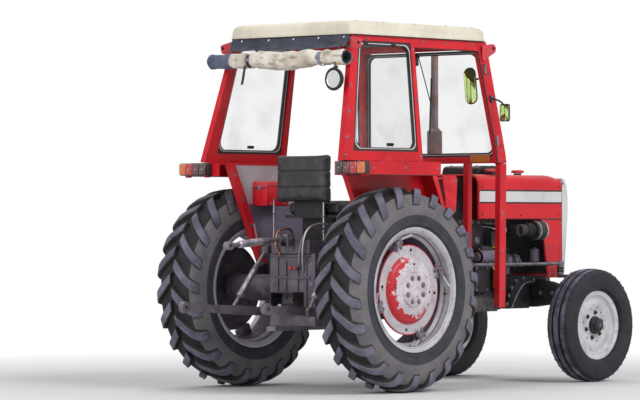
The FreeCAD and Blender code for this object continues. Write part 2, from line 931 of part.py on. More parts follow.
def drop_arms():
    """Arms outside the steering box, one for each drag link."""
    inner = -s.kingpin_y + s.steering_arm_long + s.link_eye_tall / 2 + s.thrust_gap
    outer = inner + s.drop_arm_thick
    top = s.link_high + s.drop_arm_long
    half = s.drop_arm_wide / 2
    plate = box("drop_plate", (s.drop_arm_x - half, s.drop_arm_x + half), (inner, outer),
                (s.link_high, top))
    low_boss = rod("drop_low", "y", half, inner, outer, (s.drop_arm_x, s.link_high))
    high_boss = rod("drop_high", "y", half * 1.5, inner, outer, (s.drop_arm_x, top))
    shaft = rod("drop_shaft", "y", s.steer_shaft_r, inner, -(s.gearbox_half - s.sector_in),
                (s.drop_arm_x, top))
    arm = fused("drop_arm", plate, low_boss, high_boss, shaft)
    node("drop_arm_right", arm)
    mirrored("drop_arm_left", arm)


def steering_wheel():
    """Wheel on its leaning column, and the dash that carries them."""
    ring = doc.addObject("Part::Torus", "wheel_rim")
    bind(ring, "Radius1", s.steering_wheel_r - s.wheel_rim_r)
    bind(ring, "Radius2", s.wheel_rim_r)
    hub = rod("wheel_hub", "z", 38, -s.wheel_rim_r * 2, s.wheel_rim_r, (0, 0))
    spokes = []
    for index, angle in enumerate((90, 210, 330)):
        reach = s.steering_wheel_r - s.wheel_rim_r
        end = (reach * math.cos(math.radians(angle)), reach * math.sin(math.radians(angle)),
               as_length(0))
        spokes.append(bar("spoke_%d" % index, 8, (as_length(0), as_length(0), as_length(0)), end))
    shaft = rod("wheel_shaft", "z", s.wheel_shaft_r, -s.column_long * 0.4, 0, (0, 0))
    wheel = fused("steering_wheel", ring, hub, shaft, *spokes)
    turn(wheel, "y", -s.wheel_lean)
    node("steering_wheel", wheel, s.wheel_hub_x, 0, s.wheel_hub_high)


def dash(gearbox_foot):
    """Cowl behind the bonnet with the steering column that stands on the gearbox."""
    notch = s.drop_arm_x + s.steering_notch
    shell = prism("dash_shell", "xz", [[
        (notch, s.steering_box_high), (notch, s.engine_high), (s.bonnet_rear, s.engine_high),
        (s.bonnet_rear, s.dash_high),
        (s.dash_rear + 90, s.dash_high), (s.dash_rear, s.dash_high - 150),
        (s.dash_rear, s.steering_box_high)]], -s.dash_half, s.dash_half)
    low = -s.column_long
    column = group("column_turn", rod("column", "z", s.column_r, low,
                                      -(s.wheel_rim_r * 2 + s.thrust_gap), (0, 0)))
    bore = group("column_bore", rod("column_hole", "z", s.wheel_shaft_r + s.running_gap,
                                    low * 0.4 - s.thrust_gap, 0, (0, 0)))
    for part in (column, bore):
        turn(part, "y", -s.wheel_lean)
        place(part, s.wheel_hub_x, 0, s.wheel_hub_high)
    node("dash_cowl", cut("dash_cowl", fused("dash_whole", shell, column), bore,
                          gearbox_foot))


# Castings

def gearbox():
    """Gearbox and clutch housing, with the steering box on top."""
    case = box("gear_case", (s.centre_front, s.gearbox_front), (-s.gearbox_half, s.gearbox_half),
               (s.gearbox_low, s.gearbox_high))
    top = s.link_high + s.drop_arm_long
    steering = box("steering_box", (s.drop_arm_x - 130, s.drop_arm_x + 60),
                   (-(s.gearbox_half - 20), s.gearbox_half - 20),
                   (s.gearbox_high, s.steering_box_high))
    foot = box("steering_foot", (s.drop_arm_x - 230, s.gearbox_front),
               (-(s.gearbox_half - 20), s.gearbox_half - 20), (s.gearbox_high - 10, top))
    whole = fused("gearbox_whole", case, foot, steering)
    bore = rod("sector_hole", "y", s.steer_shaft_r + s.running_gap, -(s.gearbox_half + 1),
               s.gearbox_half + 1, (s.drop_arm_x, top))
    node("gearbox_housing", cut("gearbox_housing", whole, bore))
    return foot


def rear_axle():
    """Centre housing with lift cover, and the trumpets that carry the wheels."""
    centre = box("centre_case", (s.centre_rear, s.centre_front), (-s.centre_half, s.centre_half),
                 (s.centre_low, s.centre_high))
    cover = box("lift_cover", (s.centre_rear - 20, s.centre_front - 60),
                (-(s.centre_half - 30), s.centre_half - 30), (s.centre_high, s.lift_cover_high))
    trumpet = rod("trumpet", "y", s.trumpet_r, -s.trumpet_inset, -s.centre_half, (0, s.axle_high))
    end = rod("trumpet_end", "y", s.trumpet_end_r, -(s.trumpet_inset + s.trumpet_end_long),
              -s.trumpet_inset, (0, s.axle_high))
    parts = [centre, cover, trumpet, end]
    parts += [mirror_part("trumpet_left", trumpet), mirror_part("trumpet_end_left", end)]
    pin = rod("link_pin", "y", s.hitch_pin_r, -(s.link_front_y + s.lower_link_thick),
              -(s.centre_half - 1), (s.link_front_x, s.link_front_high))
    ears = [box("top_ear_%d" % index, (s.top_link_x - 30, s.centre_rear - 19), (y, y + 12),
                (s.top_link_high - 50, s.top_link_high + 24))
            for index, y in enumerate((as_length(-36), as_length(24)))]
    foot = box("top_ear_foot", (s.centre_rear - 30, s.centre_rear - 19), (-36, as_length(36)),
               (s.top_link_high - 80, s.top_link_high - 40))
    top_pin = rod("top_pin", "y", s.hitch_pin_r, -36, as_length(36),
                  (s.top_link_x, s.top_link_high))
    parts += [pin, mirror_part("link_pin_left", pin), top_pin, foot] + ears
    whole = fused("rear_axle_whole", *parts)
    bore = rod("half_shaft_hole", "y", s.half_shaft_r + s.running_gap, -s.rear_track / 2 - 60,
               -s.rear_track / 2 + 20, (0, s.axle_high))
    shaft_hole = rod("lift_shaft_hole", "y", s.lift_shaft_r + s.running_gap, -s.centre_half - 1,
                     s.centre_half + 1, (s.lift_shaft_x, s.lift_shaft_high))
    node("rear_axle_housing", cut("rear_axle_housing", whole, bore,
                                  mirror_part("half_shaft_hole_left", bore), shaft_hole))


def engine():
    """Engine block with its sump, one plain mass."""
    block = box("block", (s.engine_rear, s.engine_front), (-s.engine_half, s.engine_half),
                (s.engine_low, s.engine_high))
    notch = box("steering_notch", (s.engine_rear - 1, s.drop_arm_x + s.steering_notch),
                (-(s.engine_half + 1), s.engine_half + 1), (s.gearbox_high - 40, s.engine_high + 1))
    sump = box("sump", (s.engine_rear, s.engine_front), (-s.sump_half, s.sump_half),
               (s.sump_low, s.engine_low))
    node("engine_block", fused("engine_block", cut("block_cut", block, notch), sump))


# Bonnet and nose

def hood(name, skin):
    """The bonnet's full form, drawn in by a skin."""
    half = s.bonnet_half - skin
    high = s.bonnet_high - skin
    low = s.bonnet_low - skin
    soft = s.bonnet_round
    run = s.bonnet_front - s.bonnet_fall_x
    across = [(half, low), (half, high - soft), (half - soft * 0.3, high - soft * 0.3),
              (half - soft, high)]
    section = prism(name + "_section", "yz", [
        [(-y, z) for y, z in across] + across[::-1]], s.bonnet_rear - skin, s.bonnet_front + skin)
    profile = prism(name + "_profile", "xz", [[
        (s.bonnet_rear - skin, low), (s.bonnet_rear - skin, high), (s.bonnet_fall_x, high),
        (s.bonnet_front + skin, high - s.bonnet_fall * (run + skin) / run),
        (s.bonnet_front + skin, low)]], -half, half)
    return shared(name, section, profile)


def filler_cap(name, x, y):
    """Flat cap on its neck."""
    neck = s.cap_r * 0.6
    high = s.bonnet_high
    cap = turned(name, "z", [
        (high - s.panel, 0), (high - s.panel, neck), (high + s.cap_tall / 2, neck),
        (high + s.cap_tall / 2, s.cap_r), (high + s.cap_tall - 4, s.cap_r),
        (high + s.cap_tall, s.cap_r - 4), (high + s.cap_tall, 0)])
    standing = group(name + "_place", cap)
    place(standing, x, y, 0)
    return standing


def bonnet():
    """Hollow hood that falls towards the nose, with a raised cover and two caps on top."""
    shell = cut("bonnet_shell", hood("hood_outer", as_length(0)), hood("hood_inner", s.panel))
    hole = rod("exhaust_hole", "z", s.exhaust_hole_r, s.bonnet_high - 80, s.bonnet_high + 10,
               (s.exhaust_x, s.exhaust_y))
    low = s.bonnet_high - s.panel / 2
    cover = prism("raised_cover", "xz", [[
        (s.cover_rear, low), (s.cover_rear + 10, s.cover_high - 24), (s.cover_rear + 34, s.cover_high - 5),
        (s.cover_rear + 70, s.cover_high), (s.cover_front - 60, s.cover_high),
        (s.cover_front - 26, s.cover_high - 12), (s.cover_front, low)]], s.cover_right, s.cover_left)
    node("bonnet", fused("bonnet", cut("bonnet_cut", shell, hole), cover,
                         filler_cap("fuel_cap", s.fuel_cap_x, s.fuel_cap_y),
                         filler_cap("water_cap", (s.radiator_rear + s.radiator_front) / 2 - 12,
                                    as_length(0))))


def nose():
    """White surround in front of the bonnet, red cheeks, grille, radiator and lamps."""
    half = s.bonnet_half
    high = s.bonnet_high - s.bonnet_fall
    solid = prism("nose_solid", "xz", [[
        (s.bonnet_front, s.nose_low), (s.nose_front_low, s.nose_low),
        (s.nose_front_high, high - 240), (s.nose_front_high, high - 130),
        (s.nose_front_high - 13, high - 46), (s.nose_front_high - 33, high - 11),
        (s.bonnet_front, high)]], -half, half)
    frame = s.nose_frame
    window = box("nose_window", (s.bonnet_front - 1, s.nose_front_high + 1),
                 (-(half - frame), half - frame), (s.nose_low + frame, high - frame))
    node("grille_surround", cut("grille_surround", solid, window))

    cheek = prism("cheek", "xz", [[
        (s.cheek_rear_low, s.cheek_low), (s.bonnet_front, s.cheek_low),
        (s.bonnet_front, s.bonnet_low), (s.cheek_rear_high, s.bonnet_low)]],
        -half, -(half - s.panel))
    floor = box("cheek_floor", (s.radiator_rear, s.bonnet_front), (-half + 1, half - 1),
                (s.bolster_high, s.bolster_high + s.panel))
    node("nose_panels", fused("nose_panels", cheek, mirror_part("cheek_left", cheek), floor))

    gap = 4
    lamp_y = half - frame - s.lamp_wide / 2 - gap
    lamp_low = s.lamp_high - s.lamp_tall / 2
    lamp_high = s.lamp_high + s.lamp_tall / 2
    panel = box("grille_panel", (s.nose_front_low - s.grille_inset - s.panel,
                                 s.nose_front_low - s.grille_inset),
                (-(half - frame), half - frame), (s.nose_low + frame, high - frame))
    slot_run = (s.nose_front_low - s.grille_inset - s.panel - 1, s.nose_front_low)
    pitch = s.grille_slot + s.grille_bar
    slots = [box("grille_slot_%d" % index, slot_run, (-(half - frame - gap * 3), half - frame - gap * 3),
                 (s.nose_low + frame + s.grille_bar + pitch * index,
                  s.nose_low + frame + pitch * (index + 1)))
             for index in range(GRILLE_SLOTS)]
    middle_bar = box("grille_middle", (s.nose_front_low - s.grille_inset - s.panel,
                                       s.nose_front_low - s.grille_inset),
                     (-(gap * 3), as_length(gap * 3)), (s.nose_low + frame, high - frame))
    bars = fused("grille_bars", cut("grille_cut", panel, *slots), middle_bar)
    lamps = []
    lamp_holes = []
    for index, side in enumerate((-1, 1)):
        y = lamp_y * side
        across = (y - s.lamp_wide / 2, y + s.lamp_wide / 2)
        lamps.append(box("headlamp_%d" % index, (s.radiator_front + gap, s.nose_front_low),
                         across, (lamp_low, lamp_high)))
        lamp_holes.append(box("headlamp_hole_%d" % index, slot_run, across, (lamp_low, lamp_high)))
    node("front_grille", group("front_grille", cut("grille_holes", bars, *lamp_holes)))
    node("headlamps", group("headlamps", *lamps))

    core = box("radiator_core", (s.radiator_rear, s.radiator_front), (-(half - 40), half - 40),
               (s.bolster_high + s.panel, s.bonnet_high - 60))
    node("radiator", group("radiator", core))


def exhaust():
    """Upright pipe with its silencer, from the manifold through the bonnet."""
    centre = (s.exhaust_x, s.exhaust_y)
    pipe = rod("exhaust_pipe", "z", s.exhaust_r, s.engine_high - 60, s.exhaust_top, centre)
    soft = s.silencer_round
    can = turned("silencer_can", "z", [
        (s.silencer_low, 0), (s.silencer_low, s.exhaust_r + 4), (s.silencer_low + soft, s.silencer_r),
        (s.silencer_high - soft, s.silencer_r), (s.silencer_high, s.exhaust_r + 4),
        (s.silencer_high, 0)])
    silencer = group("silencer", can)
    place(silencer, s.exhaust_x, s.exhaust_y, 0)
    elbow = box("manifold", (s.exhaust_x - 180, s.exhaust_x + 120),
                (s.engine_half, s.exhaust_y + s.exhaust_r), (s.engine_high - 130, s.engine_high - 40))
    node("exhaust", fused("exhaust", pipe, silencer, elbow))


def engine_outside():
    """Air cleaner on its ribbed hose, starter, pump and filters on the engine's right side."""
    y = s.cleaner_y
    soft = s.cleaner_r * 0.25
    can = turned("cleaner_can", "x", [
        (s.cleaner_rear, 0), (s.cleaner_rear, s.cleaner_r), (s.cleaner_front - soft, s.cleaner_r),
        (s.cleaner_front, s.cleaner_r - soft), (s.cleaner_front, 0)])
    can_place = group("cleaner_place", can)
    place(can_place, 0, y, s.cleaner_high)
    hose = rod("hose", "x", s.hose_r, s.hose_x, s.cleaner_rear + 1, (y, s.cleaner_high))
    elbow = rod("hose_elbow", "y", s.hose_r - 2, y - 20, -s.engine_half, (s.hose_x, s.cleaner_high))
    rings = [rod("hose_ring_%d" % index, "x", s.hose_ring_r, start, start + 12, (y, s.cleaner_high))
             for index, start in enumerate([s.cleaner_rear - 24 - 24 * step for step in range(3)])]
    cleaner = fused("air_cleaner", can_place, hose, elbow, *rings)

    starter_y = -(s.engine_half + s.starter_r + 8)
    starter = turned("starter_turn", "x", [
        (s.starter_rear, 0), (s.starter_rear, s.starter_r), (s.starter_front - 30, s.starter_r),
        (s.starter_front - 8, s.starter_r * 0.8), (s.starter_front, s.starter_r * 0.5),
        (s.starter_front, 0)])
    starter_place = group("starter_place", starter)
    place(starter_place, 0, starter_y, s.starter_high)
    foot = box("starter_foot", (s.starter_rear + 20, s.starter_front - 40), (starter_y, -s.engine_half),
               (s.starter_high - 26, s.starter_high + 26))

    pump = prism("pump", "xz", [[
        (s.starter_front - 60, s.engine_high - 170), (s.starter_front + 70, s.engine_high - 170),
        (s.starter_front + 90, s.engine_high - 130), (s.starter_front + 60, s.engine_high - 80),
        (s.starter_front - 60, s.engine_high - 80)]], -(s.engine_half + 70), -s.engine_half)
    pan_filter = rod("filter_can", "z", 34, s.engine_low + 40, s.engine_low + 150,
                     (s.starter_front + 40, -(s.engine_half + 40)))
    filter_head = box("filter_head", (s.starter_front + 10, s.starter_front + 70),
                      (-(s.engine_half + 44), -s.engine_half), (s.engine_low + 149, s.engine_low + 180))
    side_cover = box("side_cover", (s.starter_rear, s.starter_rear + 140),
                     (-(s.engine_half + 34), -s.engine_half), (s.engine_low + 30, s.starter_high - 58))
    node("engine_accessories", group("engine_accessories", cleaner,
                                     fused("starter", starter_place, foot), pump,
                                     fused("oil_filter", pan_filter, filter_head), side_cover))


# Cab

def waist():
    """The height where the leaning sides stand on the fenders."""
    return s.fender_high + s.cab_wall * sine(s.cab_lean)


def side_height(level):
    """A height of the leaning side, measured along its slope from the waist."""
    return (level - waist()) / cosine(s.cab_lean)


def side_inner(level):
    """How far the leaning side's inner face stands from the middle at a height."""
    lean = sine(s.cab_lean) / cosine(s.cab_lean)
    return s.cab_half - s.cab_wall / cosine(s.cab_lean) - (level - waist()) * lean


def window_corners(margin):
    """The quarter window's opening, drawn in or out by a margin."""
    return [
        (s.window_rear_low + margin, side_height(s.window_sill + margin)),
        (s.window_rear_high + margin, side_height(s.window_head - margin)),
        (s.window_front_high - margin, side_height(s.window_head - margin)),
        (s.window_front_low - margin, side_height(s.window_sill + margin)),
    ]


def cab_sides():
    """Leaning frame of posts and rails round the quarter window and the doorway."""
    top = side_height(s.roof_low)
    head = side_height(s.door_head)
    knee = side_height(s.knee_high)
    outline = [
        (s.rear_post_foot, 0), (s.rear_post_head, top), (s.front_post_head, top),
        (s.front_post_knee, knee), (s.front_post_knee, 0),
        (s.front_post_knee - s.front_post_wide, 0),
        (s.front_post_knee - s.front_post_wide, knee),
        (s.front_post_head - s.front_post_wide, head),
        (s.door_rear_high, head), (s.door_rear_low, 0)]
    frame = prism("cab_side", "xz", [outline, window_corners(0)], 0, s.cab_wall)
    turn(frame, "x", -s.cab_lean)
    node("cab_side_right", frame, 0, -s.cab_half, waist())
    mirrored("cab_side_left", frame)

    pane = prism("side_window", "xz", [window_corners(s.window_clear)],
                 s.window_frame / 2, s.window_frame / 2 + s.glass)
    border = prism("side_window_frame", "xz",
                   [window_corners(s.window_clear), window_corners(s.window_clear + s.window_frame)],
                   s.window_clear, s.window_frame)
    window = fused("side_window", pane, border)
    turn(window, "x", -s.cab_lean)
    place(window, 0, -s.cab_half, waist())
    return [window, mirror_part("side_window_left", window)]


def cross_rail(name, x, low, high):
    """A rail between the leaning sides, with its ends cut to them."""
    low_half = side_inner(low) - s.bead_gap
    high_half = side_inner(high) - s.bead_gap
    return prism(name, "yz", [[(-low_half, low), (-high_half, high), (high_half, high),
                               (low_half, low)]], x[0], x[1])


def cab_front():
    """Legs, sill and header in front of the driver."""
    front = s.front_post_knee
    rail = s.leg_wide - 16
    leg = prism("leg", "xz", [[
        (front - s.leg_wide, s.fender_high), (front, s.fender_high), (s.leg_front_low, s.leg_foot),
        (s.leg_front_low - s.leg_wide, s.leg_foot)]], -s.cab_half, -(s.cab_half - s.cab_wall))
    sill_low = waist()
    sill = cross_rail("sill", (front - rail, front), sill_low, sill_low + s.rail_tall)
    inner_leg = prism("inner_leg", "xz", [[
        (front - rail, sill_low - s.bead_gap), (front - 6, sill_low - s.bead_gap),
        (front - 14, s.floor_high),
        (front - rail - 8, s.floor_high)]],
        -(s.inner_leg_y + s.cab_wall / 2), -(s.inner_leg_y - s.cab_wall / 2))
    header = cross_rail("header", (s.front_post_head - 56, s.front_post_head - 6),
                        s.roof_low - s.header_tall, s.roof_low - 1)
    node("cab_front_frame", group("cab_front_frame", sill, header, leg, mirror_part("leg_left", leg),
                                  inner_leg, mirror_part("inner_leg_left", inner_leg)))


def windscreen():
    """The leaning front pane, between the posts."""
    low = waist() + s.rail_tall + s.window_clear
    rise = s.screen_head - low
    clear = s.window_clear
    low_half = side_inner(low) - clear
    high_half = side_inner(s.screen_head) - clear
    set_back = s.front_post_knee - s.front_post_head
    slope = slope_angle(set_back, rise)
    tall = rise / cosine(slope)
    pane = prism("windscreen_pane", "yz", [[(-low_half, 0), (-high_half, tall),
                                            (high_half, tall), (low_half, 0)]], 0, s.glass * 2)
    turn(pane, "y", -slope)
    place(pane, s.front_post_knee - 34, 0, low)
    return pane


def cab_rear():
    """Rear cross rail under the roof, and the lamps on the fenders' rear faces."""
    header = cross_rail("rear_header", (s.rear_post_head + 8, s.rear_post_head + 54),
                        s.roof_low - s.header_tall, s.roof_low - 1)
    node("cab_rear_frame", group("cab_rear_frame", header))

    lamp = box("rear_lamp", (s.lamp_back, s.fender_rear), (-s.lamp_out, -s.lamp_in),
               (s.fender_low + 4, s.fender_high - 2))
    node("rear_lamps", group("rear_lamps", lamp, mirror_part("rear_lamp_left", lamp)))

    behind = s.work_lamp_x
    bowl = rod("work_bowl", "x", s.work_lamp_r, behind - s.work_lamp_deep / 2,
               behind + s.work_lamp_deep / 2, (s.work_lamp_y, s.work_lamp_high))
    hung = s.rear_post_head + 8
    across = (s.work_lamp_y + 8, s.work_lamp_y + 38)
    stem = box("work_stem", (behind - 8, hung), across, (s.work_lamp_high + 50, s.work_lamp_high + 62))
    strap = box("work_strap", (hung - 10, hung), across, (s.work_lamp_high + 50, s.roof_low - 1))
    node("work_lamp", fused("work_lamp", bowl, stem, strap))


def mirrors():
    """Driver's mirror on the right front post, and a small one outside each post."""
    tall = s.mirror_tall / 2
    glass = box("mirror_inside", (s.mirror_x, s.mirror_x + 14),
                (-(s.mirror_y + s.mirror_wide / 2), -(s.mirror_y - s.mirror_wide / 2)),
                (s.mirror_high - tall, s.mirror_high + tall))
    arm_high = s.mirror_high + tall / 2
    holder = box("mirror_holder", (s.mirror_x, s.mirror_x + 10), (-side_inner(arm_high), -s.mirror_y),
                 (arm_high - 14, arm_high))
    foot = group("mirror_foot_turn", box(
        "mirror_foot", (s.mirror_x + 30, s.mirror_x + 66), (as_length(-8), as_length(0)),
        (side_height(s.side_mirror_high + 70), side_height(s.side_mirror_high + 110))))
    turn(foot, "x", -s.cab_lean)
    place(foot, 0, -s.cab_half, waist())
    side = box("mirror_side", (s.mirror_x + 40, s.mirror_x + 56),
               (-(s.side_mirror_y + 40), -(s.side_mirror_y - 40)),
               (s.side_mirror_high - 56, s.side_mirror_high + 56))
    arm = bar("mirror_arm", 6, (s.mirror_x + 48, -(s.side_mirror_y), s.side_mirror_high + 40),
              (s.mirror_x + 48, -(s.side_mirror_y - 106), s.side_mirror_high + 90))
    outside = fused("side_mirror", side, arm, foot)
    node("mirrors", group("mirrors", fused("mirror_whole", glass, holder), outside,
                          mirror_part("side_mirror_left", outside)))


def toolbox():
    """Small box on the left fender's inner wall."""
    inner = s.fender_in
    body = box("toolbox_body", (s.box_rear, s.box_front), (inner - s.box_wide, inner),
               (s.box_low, s.box_high))
    node("toolbox", group("toolbox", body))


def roof():
    """Moulded roof with rounded edges."""
    slab = box("roof_slab", (s.roof_rear, s.roof_front), (-s.roof_half, s.roof_half),
               (s.roof_low, s.roof_high))
    soft = rounded("roof", slab, s.roof_round,
                   lambda middle, along: middle.z > s.roof_high.number - 1 or abs(along.z) > 0.9)
    node("roof", soft)


def curtain():
    """Rolled cloth tied under the roof's rear edge."""
    roll = rod("curtain_roll", "y", s.curtain_r, -s.curtain_y, s.curtain_y + s.curtain_r,
               (s.curtain_x, s.curtain_high))
    node("rear_curtain", group("rear_curtain", roll))


# Fenders and floor

def fenders():
    """Flat-topped fender with its inner wall and the box at its front."""
    out = -s.fender_out
    inner = -s.fender_in
    wall = s.fender_wall
    top = box("fender_top", (s.fender_rear, s.fender_front), (out, inner),
              (s.fender_high - wall, s.fender_high))
    lip = box("fender_lip", (s.fender_rear, s.fender_front), (out, out + wall),
              (s.fender_low, s.fender_high))
    rear_lip = box("fender_rear_lip", (s.fender_rear, s.fender_rear + wall), (out, inner),
                   (s.fender_low, s.fender_high))
    bar_top = s.fender_rear + s.fender_bar
    side = prism("fender_side", "xz", [[
        (bar_top, s.fender_high), (s.side_rear_x, s.side_low), (s.side_front_x, s.side_low),
        (s.foot_rear_x, s.floor_high), (s.foot_front_x, s.floor_high), (s.shin_x, s.shin_high),
        (s.hip_x, s.hip_high), (s.brow_x, s.fender_high)]], inner - wall, inner)
    front = prism("fender_front", "xz", [[
        (s.fender_front - 1, s.fender_high), (s.brow_x, s.fender_high), (s.hip_x, s.hip_high),
        (s.shin_x, s.shin_high), (s.foot_front_x, s.floor_high),
        (s.foot_front_x - wall, s.floor_high), (s.shin_x - wall * 1.1, s.shin_high - wall * 0.4),
        (s.hip_x - wall, s.hip_high - wall * 0.8), (s.brow_x - wall * 2.5, s.brow_low),
        (s.fender_front - 1, s.brow_low)]], -s.apron_out, inner)
    brace = prism("fender_brace", "xz", [[
        (bar_top, s.fender_high), (s.side_rear_x, s.side_low),
        (s.side_rear_x + s.fender_bar, s.side_low), (bar_top + s.fender_bar, s.fender_high)]],
        inner - wall, inner + s.fender_bar / 2 - 2)
    apron = prism("fender_apron", "xz", [[
        (s.apron_rear, s.apron_high), (s.apron_front - 20, s.apron_high),
        (s.apron_front, s.apron_high - 20), (s.apron_front - 15, s.apron_low + 20),
        (s.apron_front - 35, s.apron_low), (s.apron_rear + 75, s.apron_low),
        (s.apron_rear + 55, s.apron_low + 20)]], -s.apron_out, -(s.apron_out - wall))
    gusset = box("apron_gusset", (s.apron_rear - 50, s.apron_front - 60), (-(s.apron_out - 1), inner),
                 (s.apron_high - wall * 2, s.apron_high - wall))
    fender = fused("fender", top, lip, rear_lip, side, front, brace, apron, gusset)
    node("fender_right", fender)
    mirrored("fender_left", fender)


def floor():
    """Floor plates each side of the gearbox with their hanging skirts."""
    edge = -(s.cab_half - s.cab_wall)
    plate = prism("floor_plate", "xy", [[
        (s.floor_rear, -s.gearbox_half), (s.floor_rear, -s.fender_in), (s.step_rear, -s.fender_in),
        (s.step_rear, edge), (s.floor_front, edge), (s.floor_front, -s.gearbox_half)]],
        s.floor_high - s.floor_plate, s.floor_high)
    skirt = box("floor_skirt", (s.step_rear + 90, s.floor_front), (edge, edge + s.panel),
                (s.floor_high - s.floor_skirt - s.floor_plate, s.floor_high - s.floor_plate))
    side = fused("floor_side", plate, skirt)
    node("cab_floor", group("cab_floor", side, mirror_part("floor_side_left", side)))


# Seat and controls

def seat():
    """Seat stand, cushion and backrest."""
    x0 = s.seat_x - s.seat_long / 2
    x1 = s.seat_x + s.seat_long / 2
    stand = box("seat_stand", (x0 + 60, x1 - 80), (-s.seat_stand_half, s.seat_stand_half),
                (s.lift_cover_high, s.seat_high - 20))
    pan = box("seat_pan", (x0, x1), (-s.seat_half + 10, s.seat_half - 10),
              (s.seat_high - 20, s.seat_high))
    post = box("seat_post", (x0 - 24, x0), (-s.seat_post_half, s.seat_post_half),
               (s.seat_high - 20, s.seat_high + s.seat_post_tall))
    node("seat_frame", fused("seat_frame", stand, pan, post))
    cushion = box("cushion", (x0 + 2, x1), (-s.seat_half, s.seat_half),
                  (s.seat_high + 0.3, s.seat_high + s.seat_pad))
    soft_seat = rounded("seat_cushion", cushion, as_length(20), lambda middle, along: True)
    back = box("backrest", (x0 - 24.3 - s.back_thick, x0 - 24.3), (-s.seat_half, s.seat_half),
               (s.seat_high + s.back_lift, s.seat_high + s.back_lift + s.back_tall))
    soft_back = rounded("seat_backrest", back, as_length(20), lambda middle, along: True)
    node("seat_cushions", group("seat_cushions", soft_seat, soft_back))


def controls():
    """Gear levers and pedals."""
    pieces = []
    for index, (x, y) in enumerate(((520, -60), (560, 60))):
        top = s.lever_high - 20 * index
        foot = rod("lever_foot_%d" % index, "z", s.knob_r - 2, s.gearbox_high, s.gearbox_high + 24,
                   (as_length(x + 40), as_length(y)))
        lever = bar("lever_%d" % index, s.lever_r,
                    (as_length(x + 40), as_length(y), s.gearbox_high + 12),
                    (as_length(x), as_length(y), top))
        knob = doc.addObject("Part::Sphere", "knob_%d" % index)
        bind(knob, "Radius", s.knob_r)
        place(knob, x, y, top + 8)
        pieces.append(fused("gear_lever_%d" % index, foot, lever, knob))
    for index, y in enumerate((s.pedal_y, s.brake_y, s.clutch_y)):
        pad = box("pedal_pad_%d" % index, (s.pedal_x, s.pedal_x + s.pedal_long),
                  (y, y + s.pedal_wide),
                  (s.floor_high + s.pedal_high, s.floor_high + s.pedal_high + s.pedal_thick))
        middle_x = s.pedal_x + s.pedal_long / 2
        middle_y = y + s.pedal_wide / 2
        half = s.pedal_thick / 2
        stalk = box("pedal_stalk_%d" % index, (middle_x - half, middle_x + half),
                    (middle_y - half, middle_y + half),
                    (s.floor_high, s.floor_high + s.pedal_high + 1))
        pieces.append(fused("pedal_%d" % index, pad, stalk))
    node("controls", group("controls", *pieces))


# Rear hitch

def lift_gear():
    """Lift arms on their cross shaft, and the rods down to the lower links."""
    half = s.lift_arm_thick / 2
    shaft = rod("lift_shaft", "y", s.lift_shaft_r, -(s.lift_arm_y + half), s.lift_arm_y + half,
                (s.lift_shaft_x, s.lift_shaft_high))
    arm = prism("lift_arm", "xz", [[
        (s.lift_shaft_x + 40, s.lift_shaft_high - 38), (s.lift_shaft_x + 40, s.lift_shaft_high + 38),
        (s.lift_shaft_x - 30, s.lift_shaft_high + 42), (s.lift_arm_x - 26, s.lift_arm_high + 24),
        (s.lift_arm_x - 26, s.lift_arm_high - 24), (s.lift_shaft_x - 30, s.lift_shaft_high - 42)]],
        -(s.lift_arm_y + half), -(s.lift_arm_y - half))
    pin = rod("arm_pin", "y", s.hitch_pin_r, -(s.lift_arm_y + half + s.lift_rod_r * 2 + 4),
              -s.lift_arm_y, (s.lift_arm_x, s.lift_arm_high))
    arm_right = fused("lift_arm_right", arm, pin)
    node("lift_arms", fused("lift_arms", shaft, arm_right, mirror_part("lift_arm_left", arm_right)))

    inner = s.lift_arm_y + half + s.thrust_gap
    middle = inner + s.lift_rod_r
    low_y = link_side(s.lift_eye_x) + s.lower_link_thick / 2 + s.lift_rod_r + s.link_eye_gap
    low_z = link_height(s.lift_eye_x)
    top = (s.lift_arm_x, -middle, s.lift_arm_high)
    low = (s.lift_eye_x, -low_y, low_z)
    tube = bar("lift_tube", s.lift_rod_r, top, low)
    top_eye = rod("lift_eye_top", "y", s.lift_eye_r, -(inner + s.lift_rod_r * 2), -inner,
                  (s.lift_arm_x, s.lift_arm_high))
    low_eye = rod("lift_eye_low", "y", s.lift_eye_r, -(low_y + s.lift_rod_r), -(low_y - s.lift_rod_r),
                  (s.lift_eye_x, low_z))
    hole = rod("lift_eye_hole", "y", s.hitch_pin_r + s.running_gap, -(inner + s.lift_rod_r * 3),
               -(inner - 1), (s.lift_arm_x, s.lift_arm_high))
    sleeve = bar("lift_sleeve", s.lift_rod_r * 1.5, part_way(top, low, 0.3), part_way(top, low, 0.75))
    lift_rod = cut("lift_rod", fused("lift_rod_whole", tube, sleeve, top_eye, low_eye), hole)
    node("lift_rod_right", lift_rod)
    mirrored("lift_rod_left", lift_rod)


def part_way(start, end, share):
    """A point a share of the way between two others."""
    return tuple(a + (b - a) * share for a, b in zip(start, end))


def link_run(x):
    """How far along the lower link an x lies, from its front pin to its ball."""
    return (s.link_front_x - x) / (s.link_front_x - s.link_ball_x)


def link_side(x):
    """How far from the middle the lower link stands at an x."""
    return s.link_front_y + (s.link_ball_y - s.link_front_y) * link_run(x)


def link_height(x):
    """How high the lower link stands at an x."""
    return s.link_front_high + (s.link_ball_high - s.link_front_high) * link_run(x)


